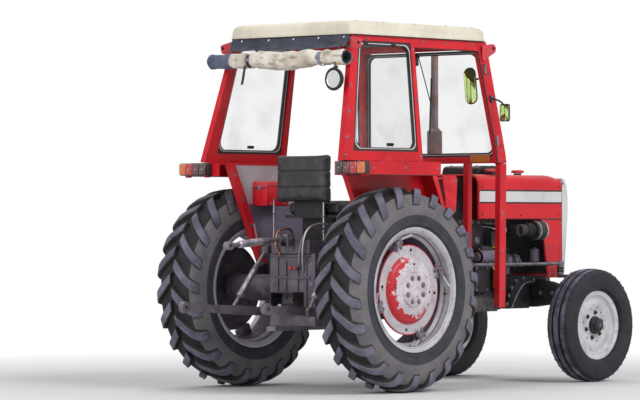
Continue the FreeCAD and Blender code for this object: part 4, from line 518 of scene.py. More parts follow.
class Piece:
    """Forms gathered into one mesh, each with its own finish."""

    def __init__(self, name):
        self.name = name
        self.mesh = bmesh.new()
        self.finishes = []

    def paint(self, face, finish):
        """Gives a face its finish."""
        if finish not in self.finishes:
            self.finishes.append(finish)
        face.material_index = self.finishes.index(finish)

    def skin(self, loops, finish, closed=True, joined=False, capped=False):
        """Skin over loops of equal length; finish is a name, or a function of loop and point."""
        rows = [[self.mesh.verts.new(point) for point in loop] for loop in loops]
        pairs = list(zip(rows, rows[1:]))
        if joined:
            pairs.append((rows[-1], rows[0]))
        for row, (first, second) in enumerate(pairs):
            count = len(first)
            for column in range(count if closed else count - 1):
                after = (column + 1) % count
                face = self.mesh.faces.new((first[column], first[after], second[after],
                                            second[column]))
                self.paint(face, finish(row, column) if callable(finish) else finish)
        if capped:
            for row, loop in ((0, rows[0][::-1]), (len(pairs) - 1, rows[-1])):
                face = self.mesh.faces.new(loop)
                self.paint(face, finish(row, 0) if callable(finish) else finish)

    def lathe(self, centre, axis, profile, finish, steps=48):
        """A (radius, along) profile turned about an axis; finish may be a list, one a segment."""
        axis = Vector(axis).normalized()
        side = axis.orthogonal().normalized()
        up = axis.cross(side)
        loops = []
        for radius, along in profile:
            ring = []
            for step in range(steps):
                angle = step * math.tau / steps
                way = side * math.cos(angle) + up * math.sin(angle)
                ring.append(Vector(centre) + axis * along + way * max(radius, 1e-7))
            loops.append(ring)
        self.skin(loops, (lambda row, column: finish[row]) if isinstance(finish, list) else finish)

    def take(self, form, finish, matrix=None):
        """Copies a small mesh in and frees it."""
        if matrix is not None:
            bmesh.ops.transform(form, matrix=matrix, verts=form.verts)
        copies = {vert: self.mesh.verts.new(vert.co) for vert in form.verts}
        for face in form.faces:
            self.paint(self.mesh.faces.new([copies[vert] for vert in face.verts]), finish)
        form.free()

    def block(self, low, high, finish, soft=0.003, matrix=None):
        """A block with softened edges between two opposite corners."""
        form = bmesh.new()
        bmesh.ops.create_cube(form, size=1)
        size = [abs(b - a) for a, b in zip(low, high)]
        bmesh.ops.scale(form, vec=size, verts=form.verts)
        bmesh.ops.translate(form, vec=(Vector(high) + Vector(low)) / 2, verts=form.verts)
        if soft:
            bmesh.ops.bevel(form, geom=form.edges[:], offset=soft, segments=2, profile=0.5,
                            affect="EDGES")
        self.take(form, finish, matrix)

    def slab(self, outline, depth, finish, matrix, soft=0.002, segments=2):
        """A flat outline made thick along the frame's third direction, its rims softened."""
        form = bmesh.new()
        face = form.faces.new([form.verts.new((a, b, 0)) for a, b in outline])
        grown = bmesh.ops.extrude_face_region(form, geom=[face])
        moved = [item for item in grown["geom"] if isinstance(item, bmesh.types.BMVert)]
        bmesh.ops.translate(form, vec=(0, 0, depth), verts=moved)
        if soft:
            top = [edge for edge in form.edges
                   if all(abs(vert.co.z - depth) < 1e-7 for vert in edge.verts)]
            foot = [edge for edge in form.edges if all(abs(vert.co.z) < 1e-7
                for vert in edge.verts)]
            bmesh.ops.bevel(form, geom=top + foot, offset=soft, segments=segments, profile=0.5,
                            affect="EDGES")
        self.take(form, finish, matrix)

    def plate(self, low, high, radius, depth, finish, matrix, soft=0.001, steps=5):
        """A flat rectangle with rounded corners."""
        self.slab(rounded_outline(rectangle(low, high), radius, steps), depth, finish, matrix, soft)

    def rod(self, start, end, radius, finish, steps=20, soft=0.002):
        """A round bar with softened ends."""
        start, end = Vector(start), Vector(end)
        long = (end - start).length
        self.lathe(start, end - start, [(0, 0), (radius - soft, 0), (radius, soft),
            (radius, long - soft), (radius - soft, long), (0, long)], finish, steps)

    def pipe(self, points, radius, finish, steps=12, smooth=True):
        """A bent pipe through the points, its radius a number or one for each point of its line."""
        line = smooth_line(points) if smooth and len(points) > 2 else [Vector(p) for p in points]
        last = len(line) - 1
        side = (line[1] - line[0]).orthogonal().normalized()
        loops = []
        for index, here in enumerate(line):
            way = (line[min(index + 1, last)] - line[max(index - 1, 0)]).normalized()
            side = (side - way * side.dot(way)).normalized()
            up = way.cross(side)
            wide = radius(index / last) if callable(radius) else radius
            loops.append([here + (side * math.cos(turn) + up * math.sin(turn)) * wide
                          for turn in (step * math.tau / steps for step in range(steps))])
        self.skin(loops, finish, capped=True)

    def bolts(self, places, way, size=0.009, finish="dull_steel", washer=True):
        """Six-sided heads on their washers."""
        tall = size * 0.75
        ring = [(0, 0), (size * 1.5, 0), (size * 1.5, size * 0.2), (0, size * 0.2)]
        head = [(size, 0), (size, tall * 0.8), (size * 0.82, tall), (0, tall)]
        for place in places:
            if washer:
                self.lathe(place, way, ring, finish, 16)
            self.lathe(place, way, head, finish, 6)

    def band(self, place, way, inner, outer, low, high, soft, finish, steps=32):
        """A ring about an axis from low to high, with sloping edges."""
        self.lathe(place, way, [(inner, low), (outer, low + soft), (outer, high - soft),
                                (inner, high)], finish, steps)

    def hole(self, place, way, radius, lift, finish, edge=0.002, rise=0.0008, steps=20):
        """A near-black disc a little above its face, with a raised edge: painted shade that stands
        in for a hole.
        """
        outer = radius + edge
        self.lathe(place, way, [(0, lift), (radius, lift), (outer, lift + rise), (outer + 0.001,
            0)], ["black_and_hole_shade", finish, finish], steps)

    def frame_ring(self, outer, inner, depth, finish, matrix):
        """A flat frame between two outlines of equal count."""
        loops = [[matrix @ Vector((a, b, c)) for a, b in outline]
                 for outline, c in ((outer, 0), (outer, depth * 0.85), (inner, depth), (inner, 0))]
        self.skin(loops, finish, joined=True)

    def both_sides(self):
        """Repeats everything on the left."""
        grown = bmesh.ops.duplicate(self.mesh, geom=self.mesh.verts[:] + self.mesh.faces[:])
        verts = [item for item in grown["geom"] if isinstance(item, bmesh.types.BMVert)]
        bmesh.ops.scale(self.mesh, vec=(1, -1, 1), verts=verts)

    def done(self, slot, body="chassis", stands_for=(), sharp=32, closed=True):
        """Makes the object, ties it to its body and hides the solids it stands for."""
        bmesh.ops.translate(self.mesh, vec=(-MIDDLE, 0, 0), verts=self.mesh.verts)
        bmesh.ops.remove_doubles(self.mesh, verts=self.mesh.verts, dist=1e-6)
        if closed:
            bmesh.ops.recalc_face_normals(self.mesh, faces=self.mesh.faces)
        data = bpy.data.meshes.new(self.name)
        self.mesh.to_mesh(data)
        self.mesh.free()
        for finish in self.finishes:
            data.materials.append(FINISHES[finish])
        data.shade_smooth()
        data.set_sharp_from_angle(angle=math.radians(sharp))
        thing = bpy.data.objects.new(self.name, data)
        bpy.context.scene.collection.objects.link(thing)
        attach(thing, body)
        if stands_for:
            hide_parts(*stands_for)
        return thing


# Panel settings

class TractorPaint(bpy.types.PropertyGroup):
    """Colours of the paint"""

    red: FloatVectorProperty(name="Red", description="Body paint", subtype="COLOR", size=3,
                             min=0, max=1, default=(0.76, 0.01, 0.022))
    cream: FloatVectorProperty(name="Roof cream", description="Paint of the roof",
                               subtype="COLOR", size=3, min=0, max=1, default=(0.93, 0.86, 0.7))
    white: FloatVectorProperty(name="White", description="Stripe and grille surround",
                               subtype="COLOR", size=3, min=0, max=1, default=(0.78, 0.77, 0.78))
    silver: FloatVectorProperty(name="Silver", description="Wheel rims", subtype="COLOR", size=3,
                                min=0, max=1, default=(0.56, 0.54, 0.58))
    dust: FloatProperty(name="Dust", description="How much dust lies on the machine",
                        subtype="FACTOR", min=0, max=1, default=0.35)


class TractorTyres(bpy.types.PropertyGroup):
    """Sizes and colours of the tyres"""

    lugs: IntProperty(name="Lugs", description="Tread lugs on each half of a rear tyre",
                      min=12, max=30, default=22)
    lug_width: FloatProperty(name="Lug width", description="Width of a lug along the tread",
                             unit="LENGTH", min=0.02, max=0.07, default=0.06)
    # The default's bluish tone stands partly for a painted highlight on the lug faces.
    tip_colour: FloatVectorProperty(name="Lug faces", description="Rubber worn by the road",
                                    subtype="COLOR", size=3, min=0, max=1,
                                    default=(0.08, 0.08, 0.12))
    wall_colour: FloatVectorProperty(name="Side walls", description="Dusty rubber of the side walls",
                                     subtype="COLOR", size=3, min=0, max=1,
                                     default=(0.12, 0.114, 0.13))


class TractorFabric(bpy.types.PropertyGroup):
    """Colours of the rear curtain and the seat's shape"""

    roll_colour: FloatVectorProperty(name="Roll", description="Rolled rear curtain",
                                     subtype="COLOR", size=3, min=0, max=1,
                                     default=(0.9, 0.84, 0.74))
    cover_colour: FloatVectorProperty(name="Cover", description="Band over the rolled curtain",
                                      subtype="COLOR", size=3, min=0, max=1,
                                      default=(0.055, 0.06, 0.09))
    sag: FloatProperty(name="Sag", description="How far the roll hangs between its straps",
                       unit="LENGTH", min=0, max=0.03, default=0.016)
    pressure: FloatProperty(name="Seat pressure", description="How tightly the seat is filled",
                            min=0, max=8, default=4)


# Wheels

CARCASS = [(0.0, 0.5955), (0.06, 0.594), (0.113, 0.588), (0.132, 0.574), (0.144, 0.55),
    (0.1515, 0.52), (0.156, 0.49), (0.1572, 0.46), (0.1562, 0.435), (0.1515, 0.412),
    (0.1535, 0.404), (0.147, 0.396), (0.1385, 0.386), (0.1385, 0.362)]
LUG_FOOT = [
    (0.007, 0.59), (0.05, 0.589), (0.095, 0.585), (0.118, 0.577), (0.132, 0.564), (0.142, 0.545),
    (0.1505, 0.515)]
LUG_TIP = [(0.008, 0.6292), (0.05, 0.6285), (0.097, 0.6245), (0.126, 0.6145), (0.1465, 0.597),
    (0.1562, 0.569), (0.156, 0.528)]
LUG_SHIFT = [0.066, 0.024, -0.021, -0.048, -0.067, -0.08, -0.094]
LUG_SECTION = [(-1.42, 0), (-1.1, 0.82), (-0.94, 1), (0.94, 1), (1.1, 0.82), (1.42, 0)]


def smooth_pairs(pairs, steps=3):
    """A finer list of pairs through the given ones."""
    return [(point.x, point.y) for point in smooth_line([(a, b, 0) for a, b in pairs], steps)]


def both_halves(half):
    """A tyre's whole section as (radius, along) pairs, from its outer half."""
    outer = [(high, across) for across, high in half[::-1]]
    return outer + [(high, -across) for across, high in half[1:]]


class TRACTOR_OT_rear_tyres(bpy.types.Operator):
    """Rear tyres with their two rows of slanting lugs"""

    bl_idname = "tractor.rear_tyres"
    bl_label = "Rear tyres"

    def execute(self, context):
        tyres = context.scene.tractor_tyres
        profile = both_halves(smooth_pairs(CARCASS))
        finish = []
        for (first, _), (second, _) in zip(profile, profile[1:]):
            high = (first + second) / 2
            # Painted shade: the tread between the lugs gets the near-black gap rubber.
            outer = "gap_rubber_shade" if high > 0.585 else "rubber_wall"
            finish.append(outer if high > 0.462 else "rubber_band")
        for name, side in SIDES:
            centre = mirrored(REAR_AXLE, -side)
            piece = Piece("rear_tread_" + name)
            piece.lathe(centre, LEFT * side, profile, finish, 120)
            for row, start in ((1, 0.5), (-1, 0.0)):
                for index in range(tyres.lugs):
                    self.lug(piece, centre, side * row, (index + start) * math.tau / tyres.lugs,
                        tyres.lug_width / 2)
            piece.done("tyre", "rear_wheel_" + name, ["rear_tyre_" + name], sharp=38)
        return {"FINISHED"}

    def lug(self, piece, centre, side, angle, half):
        """One lug from the middle of the tread down to the side wall, narrower at both ends."""
        foot, tip = smooth_pairs(LUG_FOOT, 2), smooth_pairs(LUG_TIP, 2)
        shift = [point.x for point in smooth_line([(x, 0, 0) for x in LUG_SHIFT], 2)]
        loops = []
        for index, ((foot_y, foot_r), (tip_y, tip_r), along) in enumerate(zip(foot, tip, shift)):
            narrow, low = (0.9, 0.995) if index in (0, len(tip) - 1) else (1, 1)
            loop = []
            for wide, share in LUG_SECTION:
                y = foot_y + (tip_y - foot_y) * share
                r = foot_r + (tip_r * low - foot_r) * share
                turn = angle + (along + wide * half * narrow) / 0.61
                loop.append(centre + Vector((r * math.sin(turn), y * side, r * math.cos(turn))))
            loops.append(loop)
        # Lug faces get the bluish rubber, partly painted highlight; their edges get a darker copy
        # and their sides the near-black rubber, painted shade.
        parts = {2: "tip_rubber_and_highlight", 1: "edge_rubber_dust_and_shade", 3: "edge_rubber_dust_and_shade"}
        piece.skin(loops, lambda row, column: parts.get(column, "gap_rubber_shade"), capped=True)


RIM = [(0.3835, 0.1385), (0.385, 0.143), (0.3838, 0.1455), (0.38, 0.146), (0.374, 0.145),
    (0.366, 0.1415), (0.359, 0.1375), (0.352, 0.1345), (0.3485, 0.13), (0.3478, 0.09),
    (0.344, 0.082), (0.331, 0.07), (0.3272, 0.064)]
RIM_INSIDE = [(0.3835, -0.138), (0.357, -0.137), (0.357, -0.078), (0.336, -0.06), (0.336, 0.06),
    (0.357, 0.078), (0.357, 0.137), (0.3835, 0.1385)]
MUDDY_RADII = (0.3478, 0.3272)
CENTRE_OUT = [(0.277, 0.0865), (0.275, 0.088), (0.27, 0.0885), (0.22, 0.0882), (0.2135, 0.0895),
    (0.208, 0.0935), (0.2035, 0.1), (0.1975, 0.107), (0.188, 0.112), (0.17, 0.117), (0.145, 0.1245),
    (0.128, 0.13), (0.112, 0.133), (0.1085, 0.135), (0.1065, 0.14), (0.104, 0.1446), (0.1, 0.146),
    (0.054, 0.146), (0.051, 0.147), (0.0495, 0.1492), (0.046, 0.15), (0.015, 0.15), (0.011, 0.147),
    (0, 0.1462)]
CENTRE_IN = [(0, 0.124), (0.1, 0.12), (0.2, 0.095), (0.214, 0.076), (0.277, 0.076), (0.277, 0.0865)]
DOME_RADIUS = 0.213


class TRACTOR_OT_rear_wheels(bpy.types.Operator):
    """Rear rims with their clamps, and pressed centres with bolts"""

    bl_idname = "tractor.rear_wheels"
    bl_label = "Rear wheels"

    def execute(self, context):
        for name, side in SIDES:
            centre = mirrored(REAR_AXLE, -side)
            self.rim(name, side, centre)
            self.disc(name, centre, LEFT * side)
        return {"FINISHED"}

    def rim(self, name, side, centre):
        """Rim with muddy steps, four clamps and its valve."""
        rim = Piece("rear_rim_ring_" + name)
        outside = RIM + [(radius, -along) for radius, along in RIM[::-1]]
        finish = ["cast_dark" if radius in MUDDY_RADII else "silver_paint" for radius, _ in outside]
        rim.lathe(centre, LEFT * side, outside + RIM_INSIDE,
            finish + ["silver_paint"] * (len(RIM_INSIDE) - 1), 96)
        for angle in (-21, 69, 159, 249):
            self.clamp(rim, wheel_frame(centre, side, math.radians(angle)))
        stem = wheel_frame(centre, side, math.radians(95))
        rim.rod(stem @ Vector((0, 0.085, 0.338)), stem @ Vector((0, 0.125, 0.318)), 0.0045,
            "rubber_seal", 12)
        rim.done("silver_paint", "rear_wheel_" + name, ["rear_rim_" + name])

    def disc(self, name, centre, axis):
        """Dished centre with its red edge, hub, eight bolts and two circles of holes."""
        disc = Piece("rear_disc_" + name)
        finish = ["silver_paint" if radius >= DOME_RADIUS else "dome_paint"
            for radius, _ in CENTRE_OUT[1:]]
        finish += ["cast_black"] + ["cast_dark"] * (len(CENTRE_IN) - 1)
        disc.lathe(centre, axis, CENTRE_OUT + CENTRE_IN, finish, 96)
        disc.lathe(centre, axis, [(0.2766, 0.0866), (0.2774, 0.0876), (0.2745, 0.089),
            (0.2712, 0.0888)], "red_paint", 96)
        disc.rod(centre + axis * 0.0185, centre + axis * 0.122, 0.0378, "cast_dark", 28)
        disc.bolts(around(centre + axis * 0.1458, FORWARD, 0.077, 8, math.radians(22.5)), axis,
            0.0115)
        outer = around(centre + axis * 0.0884, FORWARD, 0.245, 4, math.radians(5))
        inner = around(centre + axis * 0.1215, FORWARD, 0.158, 4, math.radians(5))
        for rim_hole, dome_hole in zip(outer, inner):
            disc.hole(rim_hole, axis, 0.0105, 0.0004, "silver_paint")
            disc.hole(dome_hole, axis, 0.008, 0.0022, "dome_paint", steps=18)
        disc.done("silver_paint", "rear_wheel_" + name, ["rear_centre_" + name])

    def clamp(self, rim, at):
        """Bracket between the rim's well and the disc, with its bolts and sloping rail."""
        rim.block((-0.037, 0.03, 0.262), (0.037, 0.0755, 0.329), "cast_dark", 0.004, at)
        rim.block((-0.031, 0.0885, 0.256), (0.031, 0.0955, 0.3), "silver_paint", 0.003, at)
        rim.block((-0.03, 0.09, 0.286), (0.03, 0.112, 0.322), "dull_steel", 0.005, at)
        out = at.to_3x3() @ LEFT
        rim.bolts([at @ Vector((across, 0.0955, 0.272)) for across in (-0.019, 0.019)], out, 0.0105)
        rim.bolts([at @ Vector((across, 0.112, 0.304)) for across in (-0.016, 0.016)], out)
        rail = at @ Matrix.Translation((0.04, 0.088, 0.327)) @ Matrix.Rotation(0.42, 4, "Z")
        for low, high, foot, top in ((-0.017, 0.017, -0.006, 0.002), (-0.017, -0.011, -0.014, 0),
                (0.011, 0.017, -0.014, 0)):
            rim.block((-0.085, low, foot), (0.08, high, top), "silver_paint", 0.002, rail)


FRONT_SECTION = [(0.0, 0.3698), (0.0165, 0.3695), (0.0182, 0.368), (0.0212, 0.3545),
    (0.033, 0.3545), (0.0352, 0.3655), (0.037, 0.367), (0.052, 0.3655), (0.064, 0.3625),
    (0.0685, 0.36), (0.07, 0.357), (0.0755, 0.3535), (0.085, 0.344), (0.088, 0.325), (0.0898, 0.3),
    (0.09, 0.28), (0.0893, 0.262), (0.085, 0.248), (0.086, 0.242), (0.079, 0.236), (0.06, 0.229),
    (0.0523, 0.2276), (0.0523, 0.2048)]
FRONT_RIM = [(0.2225, 0.052), (0.2262, 0.0545), (0.2262, 0.058), (0.2235, 0.06), (0.2195, 0.0598),
    (0.213, 0.057), (0.206, 0.055), (0.1985, 0.053), (0.1965, 0.049), (0.196, 0.036), (0.192, 0.03),
    (0.18, 0.0262)]
FRONT_RIM_BACK = [(0.18, 0.018), (0.184, -0.026), (0.196, -0.036), (0.1965, -0.049),
    (0.2195, -0.0598), (0.2262, -0.058), (0.2225, -0.052), (0.2045, -0.052), (0.2045, -0.03),
    (0.186, -0.022), (0.186, 0.022), (0.2045, 0.032), (0.2045, 0.052), (0.2225, 0.052)]
FRONT_DISC = [
    (0.18, 0.0262), (0.166, 0.0275), (0.15, 0.033), (0.138, 0.0345), (0.126, 0.033), (0.11, 0.028),
    (0.07, 0.0262), (0.064, 0.029), (0.059, 0.034)]
FRONT_HUB = [
    (0.059, 0.034), (0.057, 0.045), (0.0545, 0.052), (0.047, 0.053), (0.044, 0.056), (0.042, 0.07),
    (0.0395, 0.078), (0.034, 0.0815), (0.0, 0.082)]


class TRACTOR_OT_front_wheels(bpy.types.Operator):
    """Ribbed front tyres on their pressed wheels"""

    bl_idname = "tractor.front_wheels"
    bl_label = "Front wheels"

    def execute(self, context):
        for name, side in SIDES:
            centre = mirrored(FRONT_AXLE, -side)
            self.tyre(name, side, centre)
            self.wheel(name, centre, LEFT * side)
        return {"FINISHED"}

    def tyre(self, name, side, centre):
        """Three-ribbed tyre, with short near-black blocks along its shoulders: painted shade that
        stands in for cuts.
        """
        tyre = Piece("front_tread_" + name)
        profile = both_halves(FRONT_SECTION)
        finish = []
        for (first, _), (second, _) in zip(profile, profile[1:]):
            # The flat rib tops get the lighter rib rubber, partly wear and partly a painted
            # highlight; the rest of the tyre is near black.
            worn = (first + second) / 2 > 0.3622 and abs(first - second) < 0.006
            finish.append("rib_rubber_and_highlight" if worn else "rubber_front")
        tyre.lathe(centre, LEFT * side, profile, finish, 128)
        # Painted shade: near-black blocks a little proud of the shoulders stand in for cuts.
        for index in range(40):
            for row in (-1, 1):
                at = wheel_frame(centre, side, (index + 0.25 * row) * math.tau / 40)
                tyre.block((-0.002, 0.07 * row - 0.006, 0.3505), (0.002, 0.07 * row + 0.006,
                    0.3612), "black_and_hole_shade", 0, at)
        tyre.done("tyre", "front_wheel_" + name, ["front_tyre_" + name], sharp=30)

    def wheel(self, name, centre, axis):
        """Rim, disc and hub, with six studs between six small holes."""
        wheel = Piece("front_disc_" + name)
        wheel.lathe(centre, axis, FRONT_RIM + FRONT_RIM_BACK, "front_silver", 80)
        wheel.lathe(centre, axis, FRONT_DISC, "front_silver", 80)
        wheel.lathe(centre, axis, FRONT_HUB, "cast_black", 40)
        wheel.lathe(centre, axis, [(0.18, 0.018), (0.066, 0.018), (0.058, 0.01), (0.058, -0.044),
            (0.021, -0.044)], "cast_dark", 40)
        studs = around(centre + axis * 0.0262, FORWARD, 0.084, 6, math.radians(12))
        wheel.bolts(studs, axis, 0.0105, "cast_black")
        for stud in studs:
            wheel.rod(stud, stud + axis * 0.018, 0.005, "cast_black", 10, 0.001)
        for place in around(centre + axis * 0.0276, FORWARD, 0.112, 6, math.radians(42)):
            wheel.hole(place, axis, 0.007, 0.0016, "front_silver", 0.0018, steps=16)
        wheel.lathe(centre + axis * 0.0815, axis, [(0.0, 0.0006), (0.012, 0.0006), (0.014, 0.0)],
            "cast_dark", 20)
        wheel.done("silver_paint", "front_wheel_" + name, ["front_wheel_" + name])


# Bonnet and nose

BONNET_REAR = 1.222
BONNET_FRONT = 2.092
BONNET_LOW = 1.063
BONNET_CORNER = 0.058
BONNET_SHEET = 0.011
SLOPE_START = 1.955
STRIPE = (1.236, 2.086)
CAP_TOP = 1.3915


def bonnet_top(x):
    """Height of the bonnet's flat top, which falls towards the nose."""
    share = min(1, max(0, (x - SLOPE_START) / (BONNET_FRONT - SLOPE_START)))
    return 1.3535 - 0.02 * share * share * (1.6 - 0.6 * share)


def bonnet_arch(x, skin):
    """The bonnet's section from its right foot over the top to its left."""
    high = bonnet_top(x) - skin
    half = BONNET_HALF - skin
    soft = BONNET_CORNER
    right = [(half, BONNET_LOW), (half, 1.12), (half, 1.2), (half, high - soft)]
    for step in range(1, 9):
        turn = step * math.pi / 16
        right.append((half - soft + soft * math.cos(turn), high - soft + soft * math.sin(turn)))
    right += [(0.16, high + 0.0006), (0.08, high + 0.001), (0, high + 0.001)]
    return [Vector((x, -y, z)) for y, z in right] + [Vector((x, y, z)) for y, z in right[-2::-1]]


class TRACTOR_OT_bonnet(bpy.types.Operator):
    """Smooth bonnet with its blank stripe, raised cover, caps and screws"""

    bl_idname = "tractor.bonnet"
    bl_label = "Bonnet"

    def execute(self, context):
        piece = Piece("bonnet_shell")
        stations = [(BONNET_REAR, 0.004), (BONNET_REAR + 0.0015, 0.001), (BONNET_REAR + 0.004, 0)]
        stations += [(BONNET_REAR + 0.08 * step, 0) for step in range(1, 10)]
        stations += [(SLOPE_START + 0.015 * step, 0) for step in range(9)]
        stations += [(BONNET_FRONT - 0.0035, 0), (BONNET_FRONT - 0.001, 0.0015)]
        loops = [bonnet_arch(x, inset) + bonnet_arch(x,
            BONNET_SHEET)[::-1] for x, inset in stations]
        piece.skin(loops, "red_paint", capped=True)
        self.sides(piece)
        piece.both_sides()
        self.cover(piece)
        self.cap(piece, 1.43, -0.235)
        self.cap(piece, 1.993, 0.0)
        # Rubber ring round the exhaust, its inner face near black: painted shade of the opening.
        piece.lathe((1.375, 0.2, bonnet_top(1.375)), UP, [(0.06, -0.004), (0.06, 0.003),
            (0.056, 0.005), (0.034, 0.008), (0.029, 0.007), (0.029, -0.004)], ["rubber_seal",
            "rubber_seal", "black_and_hole_shade", "rubber_seal", "rubber_seal"], 32)
        piece.done("red_paint", stands_for=["bonnet"])
        return {"FINISHED"}

    def sides(self, piece):
        """Stripe between its dark edges, folds, screws and latch."""
        side = side_face(-BONNET_HALF)
        rear, front = STRIPE
        for low, high, depth, finish in (((rear, 1.176), (front, 1.245), 0.0007, "white_paint"),
                ((rear, 1.166), (front, 1.176), 0.0009, "black_paint"), ((rear, 1.245),
                (front, 1.255), 0.0009, "black_paint"), ((1.2225, 1.066), (1.2305, 1.29), 0.001,
                "dark_red"), ((2.0865, 1.066), (2.0895, 1.285), 0.001, "rubber_seal")):
            piece.slab(rectangle(low, high), depth, finish, side, 0)
        piece.slab(rectangle((1.24, 1.0635), (front, 1.072)), 0.0016, "dark_red", side, 0.0005)
        screws = ((1.262, 1.094), (2.052, 1.096), (2.052, 1.276), (1.262, 1.276), (1.66, 1.09))
        piece.bolts(spots(side, screws), RIGHT, 0.0058, "cast_black", False)
        latch = moved(side, 1.432, 1.276)
        piece.plate((-0.024, -0.011), (0.024, 0.011), 0.005, 0.004, "black_paint", latch)
        piece.plate((-0.006, -0.009), (0.02, 0.009), 0.004, 0.012, "steel", latch, 0.002)

    def cover(self, piece):
        """Raised black cover ahead of the windscreen, on its rubber."""
        outline = smooth_pairs([(1.35, 1.345), (1.3525, 1.366), (1.36, 1.389), (1.374, 1.404),
            (1.397, 1.411), (1.43, 1.4128)])
        outline += smooth_pairs([(1.545, 1.4128), (1.575, 1.411), (1.597, 1.402), (1.61, 1.386),
            (1.617, 1.366), (1.62, 1.345)])
        piece.slab(outline[::-1], 0.305, "black_paint", side_face(0.12), 0.007, 3)
        outer = rounded_outline(rectangle((1.338, -0.197), (1.632, 0.132)), 0.012)
        inner = rounded_outline(rectangle((1.349, -0.186), (1.621, 0.121)), 0.008)
        rim = level_face(bonnet_top(1.5) + 0.0008)
        piece.frame_ring(outer, inner, 0.004, "rubber_seal", rim)
        corners = [(x, y, 1.4126) for x in (1.4, 1.56) for y in (-0.14, 0.075)]
        piece.bolts(corners, UP, 0.0062, "steel")

    def cap(self, piece, x, y):
        """Ribbed filler cap on its rubber neck."""
        foot = bonnet_top(x)
        piece.lathe((x, y, 0), UP, [(0.034, foot - 0.004), (0.033, foot + 0.004),
            (0.026, foot + 0.007), (0.0255, foot + 0.018)], "rubber_seal", 32)
        # The cap's pinker red stands partly for a painted highlight on its top.
        piece.lathe((x, y, CAP_TOP), UP, [(0.026, -0.0205), (0.0395, -0.0205), (0.0418, -0.018),
            (0.042, -0.006), (0.0395, -0.0025), (0.033, -0.0008), (0.031, -0.0022),
            (0.014, -0.0022), (0.012, -0.0003), (0, 0)], "pinker_red_and_highlight", 40)
        for step in range(16):
            turn = step * math.tau / 16
            grip = Vector((x + 0.0405 * math.cos(turn), y + 0.0405 * math.sin(turn), CAP_TOP))
            piece.rod(grip - UP * 0.018, grip - UP * 0.0065, 0.0022, "dark_red", 8, 0.0005)


class TRACTOR_OT_nose(bpy.types.Operator):
    """Headlamps behind ribbed glass, and the nose's trim"""

    bl_idname = "tractor.nose"
    bl_label = "Nose"

    def execute(self, context):
        lamps = Piece("headlamp_glass")
        at = facing((2.062, -0.179, 0.85), LEFT, UP)
        whole = rectangle((-0.0745, -0.0475), (0.0745, 0.0475))
        lamps.slab(rounded_outline(whole, 0.01), 0.03, "black_paint", at, 0.003)
        opening = rounded_outline(rectangle((-0.066, -0.039), (0.066, 0.039)), 0.01)
        lamps.frame_ring(rounded_outline(whole, 0.014), opening, 0.052, "chrome", at)
        loops = []
        for share, deep in ((1, 0.036), (0.97, 0.044), (0.8, 0.0475), (0.5, 0.0495), (0.1, 0.0505)):
            loops.append([at @ Vector((a * share, b * share, deep)) for a, b in opening])
        lamps.skin(loops, "lens_clear", capped=True)
        for step in range(-5, 6):
            x = step * 0.011
            lamps.block((x - 0.001, -0.033, 0.046), (x + 0.001, 0.033, 0.0512), "lens_clear",
                0.0004, at)
        lamps.both_sides()
        lamps.done("lamp_glass", stands_for=["headlamps"])

        trim = Piece("nose_trim")
        cheek = side_face(-BONNET_HALF)
        trim.bolts(spots(cheek, ((2.099, 1.3), (2.099, 0.73))), RIGHT, 0.006)
        screws = ((1.962, 0.705), (2.072, 0.705), (1.925, 1.036), (2.072, 1.036), (1.936, 0.88))
        trim.bolts(spots(cheek, screws), RIGHT, 0.0065)
        trim.slab(rectangle((2.0875, 0.68), (2.0905, 1.06)), 0.0009, "rubber_seal", cheek, 0)
        trim.slab(rectangle((1.905, 1.0585), (2.09, 1.0625)), 0.0009, "rubber_seal", cheek, 0)
        trim.both_sides()
        trim.done("black_paint")
        return {"FINISHED"}


# Cab

WINDSCREEN_FOOT = 1.46385
WINDSCREEN_TALL = 0.683


def slope_height(z):
    """A height measured along the leaning side."""
    return (z - WAIST) / math.cos(CAB_LEAN)


def side_plane(out=0.0):
    """Frame of the right side's outer face: forward, up its slope, outward."""
    up = Vector((0, math.sin(CAB_LEAN), math.cos(CAB_LEAN)))
    return moved(facing((0, -CAB_HALF, WAIST), FORWARD, up), 0, 0, out)


def quarter_window(margin, radius):
    """The quarter window's outline, drawn in by a margin."""
    low, high = slope_height(1.48) + margin, slope_height(2.16) - margin
    return rounded_outline([(-0.322 + margin * 1.1, low), (0.284 - margin, low),
        (0.304 - margin, high), (-0.186 + margin * 0.9, high)], radius)


def windscreen_frame(out=0.0):
    """Frame of the windscreen's rear face: leftward, up its slope, forward."""
    slope = math.radians(8.16)
    up = (-math.sin(slope), 0, math.cos(slope))
    return moved(facing((1.108, 0, WINDSCREEN_FOOT), LEFT, up), 0, 0, out)


def windscreen_outline(margin, radius):
    """The windscreen's outline, drawn in by a margin."""
    low, high = 0.5545 - margin, 0.4755 - margin
    top = WINDSCREEN_TALL - margin
    return rounded_outline([(-low, margin), (low, margin), (high, top), (-high, top)], radius)


